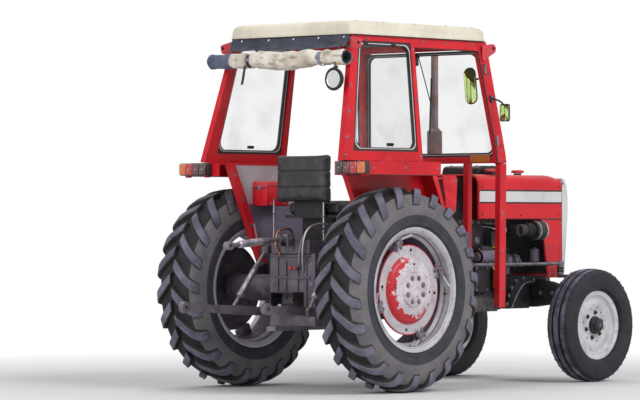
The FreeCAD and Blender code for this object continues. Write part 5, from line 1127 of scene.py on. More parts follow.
class TRACTOR_OT_windows(bpy.types.Operator):
    """Glass in its rubber rings, with the locking strip drawn as a pale line, a painted highlight"""

    bl_idname = "tractor.windows"
    bl_label = "Windows"

    def execute(self, context):
        panes = Piece("window_panes")
        panes.slab(quarter_window(0.012, 0.05), 0.005, "glass", side_plane(-0.016), 0.0008, 1)
        panes.both_sides()
        panes.slab(windscreen_outline(0.012, 0.05), 0.005, "glass", windscreen_frame(0.004), 0.0008,
            1)
        panes.done("glass", stands_for=["windows"])

        seals = Piece("window_seals")
        self.quarter_seals(seals)
        seals.both_sides()
        self.windscreen_seals(seals)
        self.wiper(seals)
        seals.done("black_paint")
        return {"FINISHED"}

    def quarter_seals(self, seals):
        """Rubber and a pale strip, a painted highlight, on both faces, the catch and two hinges."""
        for back, deep in ((-0.024, 0.0225), (-0.0155, -0.0075)):
            seals.frame_ring(quarter_window(0.0006, 0.006), quarter_window(0.024, 0.052), deep,
                "rubber_seal", side_plane(back))
        # Pale strip along the locking strip: painted highlight.
        for out, deep in ((-0.0035, 0.0028), (-0.0238, -0.0012)):
            seals.frame_ring(quarter_window(0.0135, 0.046), quarter_window(0.0185, 0.05), deep,
                "white_paint", side_plane(out))
        catch = moved(side_plane(-0.002), 0.022, slope_height(1.522))
        seals.plate((-0.03, -0.01), (0.03, 0.01), 0.006, 0.006, "black_paint", catch, 0.0015)
        seals.rod(catch @ Vector((0.012, 0, 0.004)), catch @ Vector((0.012, 0, 0.022)), 0.008,
            "plastic", 16)
        for x in (-0.12, 0.14):
            hinge = moved(side_plane(-0.002), x, slope_height(2.148))
            seals.block((-0.02, -0.01, -0.001), (0.02, 0.012, 0.006), "black_paint", 0.002, hinge)

    def windscreen_seals(self, seals):
        """The windscreen's rubber with its pale strip, a painted highlight."""
        seals.frame_ring(windscreen_outline(0.0005, 0.008), windscreen_outline(0.024, 0.055), 0.015,
            "rubber_seal", windscreen_frame(-0.003))
        # Pale strip along the locking strip: painted highlight.
        seals.frame_ring(windscreen_outline(0.012, 0.048), windscreen_outline(0.016, 0.05), 0.0165,
            "white_paint", windscreen_frame(-0.004))

    def wiper(self, seals):
        """Arm, blade and motor at the head of the windscreen."""
        at = windscreen_frame()
        arm = [at @ Vector(point) for point in ((0.05, 0.655, 0.02), (0.03, 0.56, 0.024),
            (-0.02, 0.34, 0.022))]
        seals.pipe(arm, 0.0035, "black_paint", 10)
        seals.rod(at @ Vector((0.05, 0.655, -0.02)), at @ Vector((0.05, 0.655, 0.026)), 0.009,
            "black_paint", 16)
        blade = moved(at, -0.02, 0.33) @ Matrix.Rotation(0.16, 4, "Z")
        seals.block((-0.006, -0.19, 0.012), (0.006, 0.19, 0.02), "rubber_seal", 0.002, blade)
        seals.block((0.025, 0.6, -0.06), (0.085, 0.675, -0.006), "plastic", 0.008, at)


ROOF_LOW, ROOF_HIGH = (-0.251, -0.525), (1.044, 0.525)
ROOF_RINGS = [
    (2.1965, 0.02, 0.04), (2.1965, 0.003, 0.044), (2.1985, 0.0006, 0.045), (2.208, 0.0004, 0.045),
    (2.21, 0.003, 0.045), (2.212, 0.0045, 0.045), (2.245, 0.006, 0.046), (2.26, 0.01, 0.048),
    (2.272, 0.018, 0.052), (2.2795, 0.03, 0.058), (2.2825, 0.048, 0.064), (2.2835, 0.06, 0.066),
    (2.286, 0.068, 0.066), (2.2868, 0.076, 0.066), (2.289, 0.15, 0.07), (2.2905, 0.26, 0.08),
    (2.2915, 0.42, 0.08)]


def roof_outline(inset, radius, steps=5):
    """The roof's outline, drawn in all round."""
    low = [corner + inset for corner in ROOF_LOW]
    high = [corner - inset for corner in ROOF_HIGH]
    return rounded_outline(rectangle(low, high), radius, steps)


class TRACTOR_OT_roof(bpy.types.Operator):
    """Moulded roof with its lip and a crowned top"""

    bl_idname = "tractor.roof"
    bl_label = "Roof"

    def execute(self, context):
        piece = Piece("roof_moulding")
        loops = [[Vector((a, b, z)) for a, b in roof_outline(inset, radius, 7)]
            for z, inset, radius in ROOF_RINGS]
        piece.skin(loops, "roof_cream", capped=True)
        places = [(x, y, 2.2824) for x in (-0.16, 0.1, 0.4, 0.7, 0.955) for y in (-0.465, 0.465)]
        piece.bolts(places, UP, 0.006)
        piece.done("roof_cream", stands_for=["roof"], sharp=40)

        strip = Piece("roof_gasket")
        strip.frame_ring(roof_outline(0.004, 0.044), roof_outline(0.026, 0.03), 0.0045,
            "rubber_seal", level_face(2.1925))
        strip.plate((-0.222, -0.475), (0.99, 0.475), 0.03, 0.01, "grey_paint", level_face(2.1855),
            0.003)
        strip.done("black_paint")
        return {"FINISHED"}


class TRACTOR_OT_cab_trim(bpy.types.Operator):
    """Bolts, lifting eyes, hinges, door seals and the blank plate"""

    bl_idname = "tractor.cab_trim"
    bl_label = "Cab trim"

    def execute(self, context):
        piece = Piece("cab_trim")
        self.side(piece)
        self.corner_plates(piece)
        piece.both_sides()
        plate = rear_face(1.0958)
        piece.plate((0.34, 1.428), (0.5, 1.474), 0.004, 0.0025, "orange_paint", plate, 0.0006)
        piece.bolts(spots(plate, ((0.349, 1.451), (0.491, 1.451)), 0.0025), REAR, 0.004, "steel",
            False)
        piece.done("red_paint")
        return {"FINISHED"}

    def side(self, piece):
        """Bolts down the posts and rails, door hinges and the doorway's seal."""
        at = side_plane()
        out = at.to_3x3() @ UP
        post = [(-0.404 + 0.195 * (z - WAIST) / (2.196 - WAIST),
            slope_height(z)) for z in (1.452, 1.56, 1.72, 1.88, 2.04, 2.172)]
        piece.bolts(spots(at, post), out, 0.007)
        others = [(x, 2.172) for x in (-0.1, 0.1, 0.42, 0.66, 0.9)]
        others += [
            (1.098, 1.5), (1.09, 1.44), (1.026, 1.98), (1.012, 2.1), (0.302, 1.45), (0.312, 1.8),
            (0.32, 2.12)]
        piece.bolts(spots(at, [(x, slope_height(z)) for x, z in others]), out, 0.006)
        for z in (1.56, 2.02):
            hinge = moved(at, 1.112 - (z - 1.475) * 0.136, slope_height(z))
            piece.block((-0.03, -0.028, 0.0), (0.012, 0.028, 0.006), "red_paint", 0.002, hinge)
            piece.rod(hinge @ Vector((-0.034, -0.034, 0.006)),
                hinge @ Vector((-0.034, 0.034, 0.006)), 0.009, "dull_steel", 16)
        doorway = [(0.322, 1.4225), (0.337, 2.135), (0.965, 2.135), (1.062, 1.475), (1.062, 1.4225)]
        seal = spots(at, [(x, slope_height(z)) for x, z in doorway], -0.006)
        for first, second in zip(seal, seal[1:]):
            piece.pipe([first, second], 0.0055, "rubber_seal", 10, False)
        piece.bolts([(1.1 + (1.43 - z) * -0.006, -CAB_HALF, z) for z in (0.62, 0.86, 1.1, 1.34)],
            RIGHT, 0.0065)

    def corner_plates(self, piece):
        """Lifting eyes at the rear and front of the roof's rails, with their bolts."""
        rear = [(0.47, 2.092), (0.585, 2.108), (0.6, 2.16), (0.47, 2.188)]
        piece.slab(rounded_outline(rear, 0.016), 0.008, "pinker_red_and_highlight", rear_face(-0.243), 0.0015)
        front = [(0.985, 2.06), (1.06, 2.104), (1.112, 2.13), (1.122, 2.16), (1.096, 2.183),
            (0.985, 2.172)]
        piece.slab(rounded_outline(front, 0.014), 0.008, "pinker_red_and_highlight", side_face(-0.526), 0.0015)
        for place, way, radius in (((-0.2512, -0.572, 2.142), REAR, 0.0105),
                ((-0.2428, -0.572, 2.142), FORWARD, 0.0105), ((1.09, -0.5342, 2.154), RIGHT, 0.012),
                ((1.09, -0.5258, 2.154), LEFT, 0.012)):
            piece.hole(place, way, radius, 0.0002, "pinker_red_and_highlight", rise=0.0006, steps=24)
        piece.bolts([(-0.2508, -0.5, z) for z in (2.12, 2.165)], REAR, 0.008)
        piece.bolts(spots(rear_face(-0.2232), [(y, 2.16) for y in (0.06, 0.24, 0.42)]), REAR, 0.006)


# Curtain and seat

ROLL_X = -0.3223
ROLL_Z = 2.0585
ROLL_LOW, ROLL_LONG = -0.5435, 1.142
BLUE_END = 0.405
STRAPS = (0.255, -0.343)
STRAP_MIDDLE, STRAP_SPAN = -0.044, 0.598
SEAT_SWELL = 0.013


def roll_centre(y, sag):
    """Height of the rolled curtain's middle, which hangs between its straps."""
    off = y - STRAP_MIDDLE
    share = math.cos(off * math.pi / STRAP_SPAN) ** 2 if abs(off) < STRAP_SPAN / 2 else 0.25
    return ROLL_Z - sag * share


def roll_radius(y):
    """How thick the roll is, pinched under its straps."""
    pinch = sum(math.exp(-((y - at) / 0.034) ** 2) for at in STRAPS)
    off = y - STRAP_MIDDLE
    full = math.cos(off * math.pi / STRAP_SPAN) if abs(off) < STRAP_SPAN / 2 else 0
    return 0.052 + 0.01 * full - 0.0075 * pinch - 0.003 * max(0, y - 0.45) / 0.15


class TRACTOR_OT_curtain(bpy.types.Operator):
    """Rear curtain rolled up under the roof, its cover and its straps"""

    bl_idname = "tractor.curtain"
    bl_label = "Curtain"

    def execute(self, context):
        fabric = context.scene.tractor_fabric
        roll = Piece("curtain_roll")
        loops = []
        turns, around = 2.3, 28
        rows = 96
        for row in range(rows + 1):
            y = ROLL_LOW + ROLL_LONG * row / rows
            loop = []
            for step in range(int(turns * around) + 1):
                turn = step * math.tau / around
                radius = roll_radius(y) - 0.0095 * turn / math.tau
                fold = 0.0036 * math.sin(3 * turn + 23 * y) * math.sin(17 * y + turn)
                fold += 0.0022 * math.sin(46 * y + 2.2 * turn)
                fold += 0.0012 * math.sin(90 * y - 3 * turn)
                radius += fold * (1 if turn < 6.4 else 0.3)
                loop.append(Vector((ROLL_X - radius * math.sin(turn + 0.5),
                                    y, roll_centre(y, fabric.sag) + radius * math.cos(turn + 0.5))))
            loops.append(loop)
        cut = int(rows * (BLUE_END - ROLL_LOW) / ROLL_LONG)
        # Painted shade: past the first turn, the roll's inner turns get the dark navy cloth, for the
        # shade inside the roll.
        roll.skin(loops, lambda row, column: "cloth_navy" if column > around else
                  "cloth_blue" if row > cut else "cloth_cream", closed=False)
        rolled = roll.done("curtain", stands_for=["rear_curtain"], sharp=60, closed=False)

        cover = Piece("curtain_cover")
        loops = []
        for row in range(81):
            y = -0.503 + 0.99 * row / 80
            loop = []
            for step in range(13):
                share = step / 12
                wave = 0.0035 * math.sin(31 * y + 2 * share) + 0.0022 * math.sin(74 * y - 3 * share)
                x = -0.2565 - 0.006 * share - 0.03 * share ** 3 + wave * share
                z = 2.1945 - 0.006 * math.cos(3 * y) - 0.076 * share
                z += 0.003 * math.sin(9 * y) * share
                loop.append(Vector((x, y, z)))
            loops.append(loop)
        cover.skin(loops, "cloth_navy", closed=False)
        band = cover.done("curtain", sharp=60, closed=False)

        straps = Piece("curtain_straps")
        for index, (y, finish) in enumerate(zip(STRAPS, ("strap_dark", "strap_blue"))):
            middle = roll_centre(y, fabric.sag)
            wide = roll_radius(y) + 0.0045
            path = [(-0.252, y, 2.18), (-0.262, y, 2.135)]
            for step in range(13):
                turn = math.radians(-38 - step * 23)
                path.append((ROLL_X - wide * math.sin(turn), y, middle + wide * math.cos(turn)))
            self.ribbon(straps, path, 0.024, finish)
            if index == 0:
                self.ribbon(straps, [(-0.377, y + 0.006, 2.02), (-0.38, y + 0.014, 1.975),
                                     (-0.376, y + 0.026, 1.935), (-0.378, y + 0.034, 1.902)],
                            0.02, finish)
            straps.block((-0.006, -0.015, -0.012), (0.0, 0.015, 0.012), "dull_steel", 0.002,
                         Matrix.Translation((ROLL_X - wide - 0.001, y, middle)))
        for y in (-0.46, -0.25, -0.04, 0.17, 0.4):
            straps.lathe((-0.2575, y, 2.18), REAR, [(0.0065, 0), (0.006, 0.003), (0, 0.004)],
                         "chrome", 16)
        ties = straps.done("curtain")
        return {"FINISHED"}

    def ribbon(self, piece, path, width, finish):
        """A flat strap along a path, its width across the tractor."""
        line = smooth_line(path, 3)
        loops = []
        for index, here in enumerate(line):
            way = (line[min(index + 1, len(line) - 1)] - line[max(index - 1, 0)]).normalized()
            across = LEFT
            out = way.cross(across).normalized() * 0.0009
            loops.append([here - across * width / 2 - out, here + across * width / 2 - out,
                          here + across * width / 2 + out, here - across * width / 2 + out])
        piece.skin(loops, finish, capped=True)


class TRACTOR_OT_seat(bpy.types.Operator):
    """Seat cushion and backrest, swelled by a cloth run, with sewn channels"""

    bl_idname = "tractor.seat"
    bl_label = "Seat"

    def execute(self, context):
        seat = self.cushion(context, "seat_cushion", (-0.044, -0.221, 1.097), (0.343, 0.221, 1.166))
        back = self.cushion(context, "seat_backrest", (-0.15, -0.221, 1.16), (-0.088, 0.221, 1.47))
        for thing, flat, channels in ((seat, 2, ((1, -0.12), (1, 0.0), (1, 0.12))),
                (back, 0, ((2, 1.26), (2, 1.36)))):
            self.channels(thing, flat, channels)
            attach(thing, "chassis")
        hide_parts("seat_cushions")
        return {"FINISHED"}

    def cushion(self, context, name, low, high):
        """A closed soft form, swelled from a slightly smaller block."""
        start = Piece(name)
        start.block(low, high, "vinyl", 0.018)
        bmesh.ops.translate(start.mesh, vec=(-MIDDLE, 0, 0), verts=start.mesh.verts)
        data = bpy.data.meshes.new(name)
        start.mesh.to_mesh(data)
        start.mesh.free()
        data.materials.append(FINISHES["vinyl"])
        thing = bpy.data.objects.new(name, data)
        context.scene.collection.objects.link(thing)
        remesh = thing.modifiers.new("voxels", "REMESH")
        remesh.mode = "VOXEL"
        remesh.voxel_size = 0.0075
        self.settle(context, thing)
        before = [vert.co.copy() for vert in thing.data.vertices]
        swell = thing.modifiers.new("swell", "CLOTH")
        swell.settings.quality = 5
        swell.settings.use_pressure = True
        swell.settings.uniform_pressure_force = context.scene.tractor_fabric.pressure
        swell.settings.effector_weights.gravity = 0
        for step in range(1, 21):
            context.scene.frame_set(step)
        self.settle(context, thing)
        context.scene.frame_set(1)
        for vert, start_co in zip(thing.data.vertices, before):
            grown = vert.co - start_co
            if grown.length > SEAT_SWELL:
                vert.co = start_co + grown.normalized() * SEAT_SWELL
        smoother = thing.modifiers.new("finer", "SUBSURF")
        smoother.levels = 1
        self.settle(context, thing)
        thing.data.shade_smooth()
        return thing

    def settle(self, context, thing):
        """Applies the modifiers, so that none is left."""
        graph = context.evaluated_depsgraph_get()
        data = bpy.data.meshes.new_from_object(thing.evaluated_get(graph))
        thing.modifiers.clear()
        thing.data = data

    def channels(self, thing, flat, lines):
        """Presses sewn channels into a cushion's broad face, and keeps it in its space."""
        limits = {"seat_cushion": ((-0.054, 0.356), (-0.236, 0.236), (1.0905, 1.186)),
                  "seat_backrest": ((-0.164, -0.0745), (-0.236, 0.236), (1.146, 1.486))}
        room = limits[thing.name]
        for vert in thing.data.vertices:
            place = vert.co + Vector((MIDDLE, 0, 0))
            for axis in range(3):
                place[axis] = min(max(place[axis], room[axis][0]), room[axis][1])
            for axis, at in lines:
                press = 0.008 * math.exp(-((place[axis] - at) / 0.007) ** 2)
                middle = (room[flat][0] + room[flat][1]) / 2
                place[flat] += press * (-1 if place[flat] > middle else 1)
            vert.co = place - Vector((MIDDLE, 0, 0))


# Lamps, mirrors and toolbox

class TRACTOR_OT_lamps(bpy.types.Operator):
    """Rear lamp clusters on the fenders, and the work lamp"""

    bl_idname = "tractor.lamps"
    bl_label = "Lamps"

    def execute(self, context):
        piece = Piece("rear_lamp_clusters")
        piece.block((-0.428, -0.7795, 1.337), (-0.378, -0.5455, 1.415), "plastic", 0.005)
        for low, high, finish, back in ((-0.7785, -0.7245, "lens_amber", -0.4),
                                        (-0.7215, -0.666, "lens_red", -0.42),
                                        (-0.663, -0.6075, "lens_dark_red", -0.42),
                                        (-0.6045, -0.547, "lens_dark", -0.42)):
            piece.block((-0.44, low, 1.342), (back, high, 1.4105), finish, 0.006)
            piece.bolts([(-0.4396, (low + high) / 2, 1.376)], REAR, 0.0035, "chrome", False)
        piece.block((-0.4325, -0.7755, 1.3385), (-0.43, -0.5485, 1.3415), "lens_dark", 0)
        for y in (-0.745, -0.58):
            piece.block((-0.4, y - 0.016, 1.325), (-0.372, y + 0.016, 1.34), "red_paint", 0.003)
        piece.both_sides()
        piece.done("lamp_lens", stands_for=["rear_lamps"])

        lamp = Piece("work_lamp_bowl")
        centre = Vector((-0.352, -0.477, 1.918))
        back = REAR
        lamp.lathe(centre, back, [
            (0, -0.025), (0.022, -0.0248), (0.04, -0.0205), (0.056, -0.011), (0.0655, 0.002),
            (0.069, 0.013), (0.071, 0.015), (0.071, 0.0215), (0.069, 0.0235), (0.0655, 0.0232),
            (0.063, 0.0205)], "black_paint", 48)
        lamp.lathe(centre, back, [(0.064, 0.0205), (0.056, 0.0215), (0.0535, 0.024),
            (0.0505, 0.0225), (0.03, 0.024), (0, 0.0245)], ["black_paint", "black_paint", "chrome",
            "lens_clear", "lens_clear"], 40)
        for step in range(-3, 4):
            y = step * 0.0135
            tall = math.sqrt(0.048 ** 2 - y * y)
            lamp.block((centre.x - 0.025, centre.y + y - 0.001, centre.z - tall),
                       (centre.x - 0.02, centre.y + y + 0.001, centre.z + tall), "lens_clear",
                       0.0005)
        lamp.rod(centre + Vector((0, 0, 0.064)), centre + Vector((0, 0, 0.078)), 0.011,
                 "black_paint", 16)
        lamp.block((-0.364, -0.49, 1.99), (-0.34, -0.464, 1.998), "black_paint", 0.002)
        lamp.pipe([(-0.352, -0.477, 1.992), (-0.346, -0.472, 2.03), (-0.3, -0.458, 2.11),
                   (-0.232, -0.452, 2.165)], 0.0065, "black_paint", 12)
        lamp.block((-0.361, -0.493, 2.004), (-0.345, -0.461, 2.026), "yellow_paint", 0.003)
        lamp.bolts([(-0.362, -0.477, 2.014)], REAR, 0.006)
        lamp.block((-0.234, -0.47, 2.146), (-0.223, -0.43, 2.188), "black_paint", 0.002)
        lamp.done("lamp_glass", stands_for=["work_lamp"])
        return {"FINISHED"}


class TRACTOR_OT_mirrors(bpy.types.Operator):
    """Driver's mirror inside the right post, and one outside each side"""

    bl_idname = "tractor.mirrors"
    bl_label = "Mirrors"

    def execute(self, context):
        inside = Piece("driver_mirror")
        at = facing((1.01, -0.415, 1.915), RIGHT, UP) @ Matrix.Rotation(0.1, 4, "Z")
        inside.slab(rounded_outline(rectangle((-0.05, -0.118), (0.05, 0.118)), 0.044, 8), 0.007,
                    "plastic", at, 0.003)
        inside.slab(rounded_outline(rectangle((-0.045, -0.112), (0.045, 0.112)), 0.04, 8), 0.0085,
                    "mirror_painted_green_reflection", at, 0.0005)
        inside.pipe([(1.006, -0.425, 1.94), (1.012, -0.45, 1.955), (1.012, -0.485, 1.96),
                     (1.01, -0.508, 1.958)], 0.006, "black_paint")
        inside.block((1.000, -0.516, 1.938), (1.024, -0.5, 1.978), "black_paint", 0.003)
        inside.done("mirror", stands_for=["mirrors"])

        outside = Piece("side_mirrors")
        at = facing((1.052, -0.665, 1.74), RIGHT, UP)
        outside.plate((-0.04, -0.056), (0.04, 0.056), 0.014, 0.012, "plastic", at, 0.004)
        outside.plate((-0.034, -0.05), (0.034, 0.05), 0.01, 0.013, "mirror_painted_green_reflection", at, 0.0005)
        outside.pipe([(1.048, -0.665, 1.77), (1.05, -0.64, 1.802), (1.05, -0.6, 1.822),
                      (1.048, -0.556, 1.832)], 0.006, "black_paint")
        outside.rod((1.056, -0.665, 1.76), (1.056, -0.665, 1.782), 0.011, "black_paint", 16)
        plane = side_plane()
        outside.block((1.03, slope_height(1.808), -0.001), (1.066, slope_height(1.852), 0.008),
                      "black_paint", 0.002, plane)
        for z in (1.818, 1.842):
            outside.bolts([plane @ Vector((1.048, slope_height(z), 0.008))],
                         plane.to_3x3() @ UP, 0.005)
        outside.both_sides()
        outside.done("mirror")
        return {"FINISHED"}


class TRACTOR_OT_toolbox(bpy.types.Operator):
    """Toolbox with its pressed lid and catch"""

    bl_idname = "tractor.toolbox"
    bl_label = "Toolbox"

    def execute(self, context):
        piece = Piece("toolbox_pressed")
        piece.block((-0.068, 0.366, 1.146), (0.142, 0.49, 1.272), "red_paint", 0.01)
        lid = rounded_outline(rectangle((0.3655, 1.262), (0.4905, 1.304)), 0.016)
        piece.slab(lid, 0.21, "pinker_red_and_highlight", facing((-0.068, 0, 0), LEFT, UP), 0.008, 3)
        piece.slab(rectangle((0.37, 1.258), (0.486, 1.263)), 0.0008, "rubber_seal",
                   facing((-0.0684, 0.856, 0), RIGHT, UP), 0)
        catch = facing((-0.068, 0.428, 1.262), RIGHT, UP)
        piece.block((-0.013, -0.02, 0.0), (0.013, 0.014, 0.006), "dull_steel", 0.002, catch)
        piece.block((-0.009, -0.005, 0.004), (0.009, 0.01, 0.011), "steel", 0.002, catch)
        for x in (-0.03, 0.104):
            piece.bolts([(x, 0.366, 1.16)], RIGHT, 0.006)
        piece.done("red_paint", stands_for=["toolbox"])
        return {"FINISHED"}


class TRACTOR_OT_fender_trim(bpy.types.Operator):
    """Bolted channels, stiffening ribs and rubber edges of the fenders, and their pale inner panels,
    the lower part in a darker blue-grey as painted shade
    """

    bl_idname = "tractor.fender_trim"
    bl_label = "Fender trim"

    def execute(self, context):
        piece = Piece("fender_trim")
        inner = facing((0, -0.49, 0), REAR, UP)
        # Inner panel, pale grey above; its lower part is a darker blue-grey, painted shade.
        for outline, finish in (([(-0.249, 1.402), (-0.134, 1.16), (0.515, 1.16), (0.425, 1.402)],
                "grey_paint"), ([(-0.134, 1.158), (0.042, 0.796), (0.298, 0.796), (0.418, 0.566),
                (0.702, 0.566), (0.658, 0.818), (0.549, 1.058), (0.514, 1.158)],
                "blue_grey_paint_and_shade")):
            piece.slab([(-x, z) for x, z in outline], 0.0012, finish, inner, 0)
        for share in (0.1, 0.36, 0.62, 0.9):
            x, z = -0.288 + 0.298 * share, 1.4 - 0.6 * share
            piece.bolts([inner @ Vector((-x, z, 0.028))], LEFT, 0.008)
            piece.bolts([(x, -0.5025, z)], RIGHT, 0.008, "cast_dark")
        for x in (-0.3, -0.1, 0.1, 0.28):
            piece.bolts([(x, -0.62, 1.4168)], UP, 0.0065)
        for x in (-0.3, 0.0, 0.3):
            piece.bolts([(x, -0.737, 1.376)], RIGHT, 0.006)
        piece.block((-0.379, -0.7375, 1.3315), (0.334, -0.7305, 1.3355), "rubber_seal", 0.001)
        piece.block((-0.379, -0.737, 1.3315), (-0.372, -0.495, 1.3355), "rubber_seal", 0.001)
        for low, high in ((1.13, 1.19), (1.24, 1.3)):
            panel = side_face(-0.6)
            piece.plate((0.535, low), (0.632, high), 0.01, 0.0018, "red_paint", panel, 0.0008)
        for x, z in ((0.53, 1.322), (0.636, 1.3), (0.632, 1.118)):
            piece.bolts([(x, -0.6, z)], RIGHT, 0.006)
        piece.pipe([(0.43, -0.498, 1.405), (0.56, -0.498, 1.05), (0.668, -0.498, 0.812),
                    (0.712, -0.498, 0.572)], 0.006, "rubber_seal", 10, False)
        piece.both_sides()
        piece.done("red_paint")
        return {"FINISHED"}


# Engine

class TRACTOR_OT_engine(bpy.types.Operator):
    """Bolts, ribs, pipes and small fittings of the engine, axle support and gearbox"""

    bl_idname = "tractor.engine"
    bl_label = "Engine"

    def execute(self, context):
        piece = Piece("engine_fittings")
        for side in (-1, 1):
            y = 0.175 * side
            for step in range(9):
                x = 1.125 + 0.062 * step
                piece.bolts([(x, y, 1.042)], (0, side, 0), 0.008)
                piece.bolts([(x, y, 0.576)], (0, side, 0), 0.007, "cast_dark")
            piece.block((1.112, y, 1.02), (1.648, y + 0.01 * side, 1.03), "cast_engine", 0.003)
            piece.block((0.968, y, 0.56), (1.648, y + 0.012 * side, 0.572), "cast_engine", 0.003)
            for x in (1.15, 1.262, 1.64):
                piece.block((x - 0.008, y, 0.575),
                            (x + 0.008, y + 0.014 * side, 1.018), "cast_engine", 0.004)
            for step in range(3):
                x = 1.195 + 0.165 * step
                piece.lathe((x, y, 0.925), (0, side, 0), [(0.024, 0), (0.024, 0.004),
                    (0.018, 0.005), (0.016, 0.002), (0, 0.002)], "dull_steel", 24)
            y = 0.165 * side
            for step in range(7):
                piece.bolts([(0.345 + 0.095 * step, y, 0.8)], (0, side, 0), 0.009, "cast_dark")
                piece.bolts([(0.345 + 0.095 * step, y, 0.45)], (0, side, 0), 0.009, "cast_dark")
            piece.block((0.3, y, 0.43), (0.324, y + 0.016 * side, 0.82), "cast_dark", 0.004)
            piece.block((0.93, y, 0.43), (0.965, y + 0.016 * side, 0.82), "cast_dark", 0.004)
            y = 0.175 * side
            for x, z in ((1.67, 0.505), (1.69, 0.56), (1.72, 0.612), (1.765, 0.655), (1.84, 0.672),
                    (1.95, 0.66), (2.08, 0.66)):
                piece.bolts([(x, y, z)], (0, side, 0), 0.009)
        piece.pipe([(1.5, -0.248, 0.94), (1.47, -0.262, 0.985), (1.43, -0.225, 1.01),
                    (1.4, -0.18, 1.015)], 0.0045, "steel")
        piece.pipe([(1.52, -0.248, 0.945), (1.5, -0.268, 1.000), (1.47, -0.235, 1.03),
                    (1.45, -0.18, 1.035)], 0.0045, "steel")
        piece.pipe([(1.54, -0.248, 0.945), (1.535, -0.275, 0.995), (1.53, -0.235, 1.036),
                    (1.52, -0.18, 1.04)], 0.0045, "steel")
        piece.pipe([(1.442, -0.229, 0.77), (1.45, -0.262, 0.71), (1.48, -0.26, 0.66),
                    (1.5, -0.216, 0.64)], 0.0055, "copper")
        piece.pipe([(1.535, -0.215, 0.778), (1.56, -0.225, 0.83), (1.56, -0.215, 0.88)], 0.006,
                   "dull_steel")
        piece.lathe((1.5, -0.2465, 0.936), RIGHT, [(0.036, 0), (0.036, 0.008), (0.03, 0.012),
            (0.018, 0.013), (0.016, 0.02), (0, 0.021)], "dull_steel", 32)
        for step in range(6):
            at = wheel_frame(Vector((1.5, -0.2465, 0.936)), -1, step * math.tau / 6)
            piece.bolts([at @ Vector((0, 0.008, 0.03))], RIGHT, 0.0045, "dull_steel", False)
        piece.lathe((1.525, -0.215, 0.6), UP, [
            (0, 0), (0.02, 0), (0.031, 0.006), (0.0355, 0.018), (0.0355, 0.12), (0.0375, 0.124),
            (0.0375, 0.136), (0.034, 0.141)], "orange_paint", 32)
        piece.rod((1.298, -0.229, 0.818), (1.286, -0.229, 0.818), 0.03, "dull_steel", 24)
        piece.lathe((1.305, -0.229, 0.818), FORWARD, [(0.0462, 0), (0.047, 0.004),
                                                        (0.047, 0.166), (0.0462, 0.17)],
                    "blue_grey_paint_and_shade", 32)
        piece.rod((1.315, -0.23, 0.868), (1.41, -0.23, 0.868), 0.024, "cast_black", 24)
        piece.bolts([(1.312, -0.23, 0.868)], REAR, 0.008, "copper")
        for x in (1.345, 1.44):
            piece.lathe((x, -0.229, 0.818), FORWARD, [(0.0465, 0), (0.0475, 0.002),
                                                        (0.0475, 0.008), (0.0465, 0.01)],
                        "dull_steel", 32)
        piece.pipe([(1.59, -0.182, 0.7), (1.588, -0.196, 0.8), (1.586, -0.198, 0.94),
                    (1.584, -0.196, 1.048)], 0.0045, "steel")
        piece.lathe((1.584, -0.196, 1.044), UP, [(0.011, 0), (0.013, 0.003), (0.013, 0.01),
                                                 (0, 0.012)], "yellow_paint", 20)
        piece.rod((1.61, -0.178, 0.8), (1.61, -0.212, 0.8), 0.028, "cast_engine", 28)
        piece.lathe((1.7, 0, 0.94), FORWARD, [(0.0, -0.048), (0.05, -0.048), (0.062, -0.04),
            (0.062, -0.02), (0.045, -0.012), (0.03, 0.0), (0.0, 0.0)], "cast_dark", 32)
        for step in range(6):
            at = Matrix.Translation((1.7, 0, 0.94)) @ Matrix.Rotation(step * math.tau / 6, 4, "X")
            blade = at @ Matrix.Translation((0.006, 0, 0.105)) @ Matrix.Rotation(0.5, 4, "Z")
            piece.plate((-0.026, -0.085), (0.026, 0.085), 0.012, 0.003,
                       "dull_steel", blade @ facing((0, 0, 0), LEFT, UP), 0.001)
        piece.pipe([(1.62, -0.06, 1.06), (1.66, -0.09, 1.14), (1.78, -0.1, 1.21),
            (1.9, -0.1, 1.225), (1.962, -0.1, 1.225)], 0.026, "rubber_seal", 20)
        piece.pipe([(1.64, 0.1, 0.7), (1.74, 0.12, 0.72), (1.86, 0.12, 0.77),
                    (1.962, 0.12, 0.78)], 0.026, "rubber_seal", 20)
        piece.rod((1.652, -0.15, 0.79), (1.77, -0.15, 0.79), 0.052, "dull_steel", 32, 0.008)
        piece.rod((1.69, -0.15, 0.79), (1.735, -0.15, 0.79), 0.0545, "cast_black", 32, 0.002)
        piece.block((1.64, -0.18, 0.7), (1.69, -0.12, 0.745), "cast_dark", 0.004)
        for x in (1.712, 1.742):
            piece.rod((x, -0.206, 0.826), (x + 0.062, -0.2, 0.752), 0.005, "steel")
        piece.lathe((1.931, -0.2, 0.782), UP, [
            (0, 0), (0.03, 0), (0.032, 0.004), (0.032, 0.08), (0.028, 0.086), (0.012, 0.086),
            (0.012, 0.096), (0, 0.097)], "blue_grey_paint_and_shade", 32)
        piece.block((1.902, -0.232, 0.768), (1.962, -0.168, 0.783), "cast_black", 0.003)
        piece.pipe([(1.44, -0.2, 0.868), (1.462, -0.25, 0.884), (1.52, -0.262, 0.89),
                    (1.56, -0.21, 0.884)], 0.006, "yellow_paint")
        piece.pipe([(1.713, -0.177, 0.478), (1.745, -0.178, 0.53), (1.785, -0.178, 0.585),
            (1.833, -0.178, 0.628), (1.872, -0.178, 0.645), (1.95, -0.178, 0.65),
            (2.1, -0.177, 0.652)], 0.006, "dull_steel", 10)
        for x in (1.962, 2.048):
            piece.block((x - 0.003, -0.262, 0.702), (x + 0.003, 0.262, 0.726), "black_paint", 0.001)
            piece.block((x - 0.003, -0.262, 1.27), (x + 0.003, 0.262, 1.296), "black_paint", 0.001)
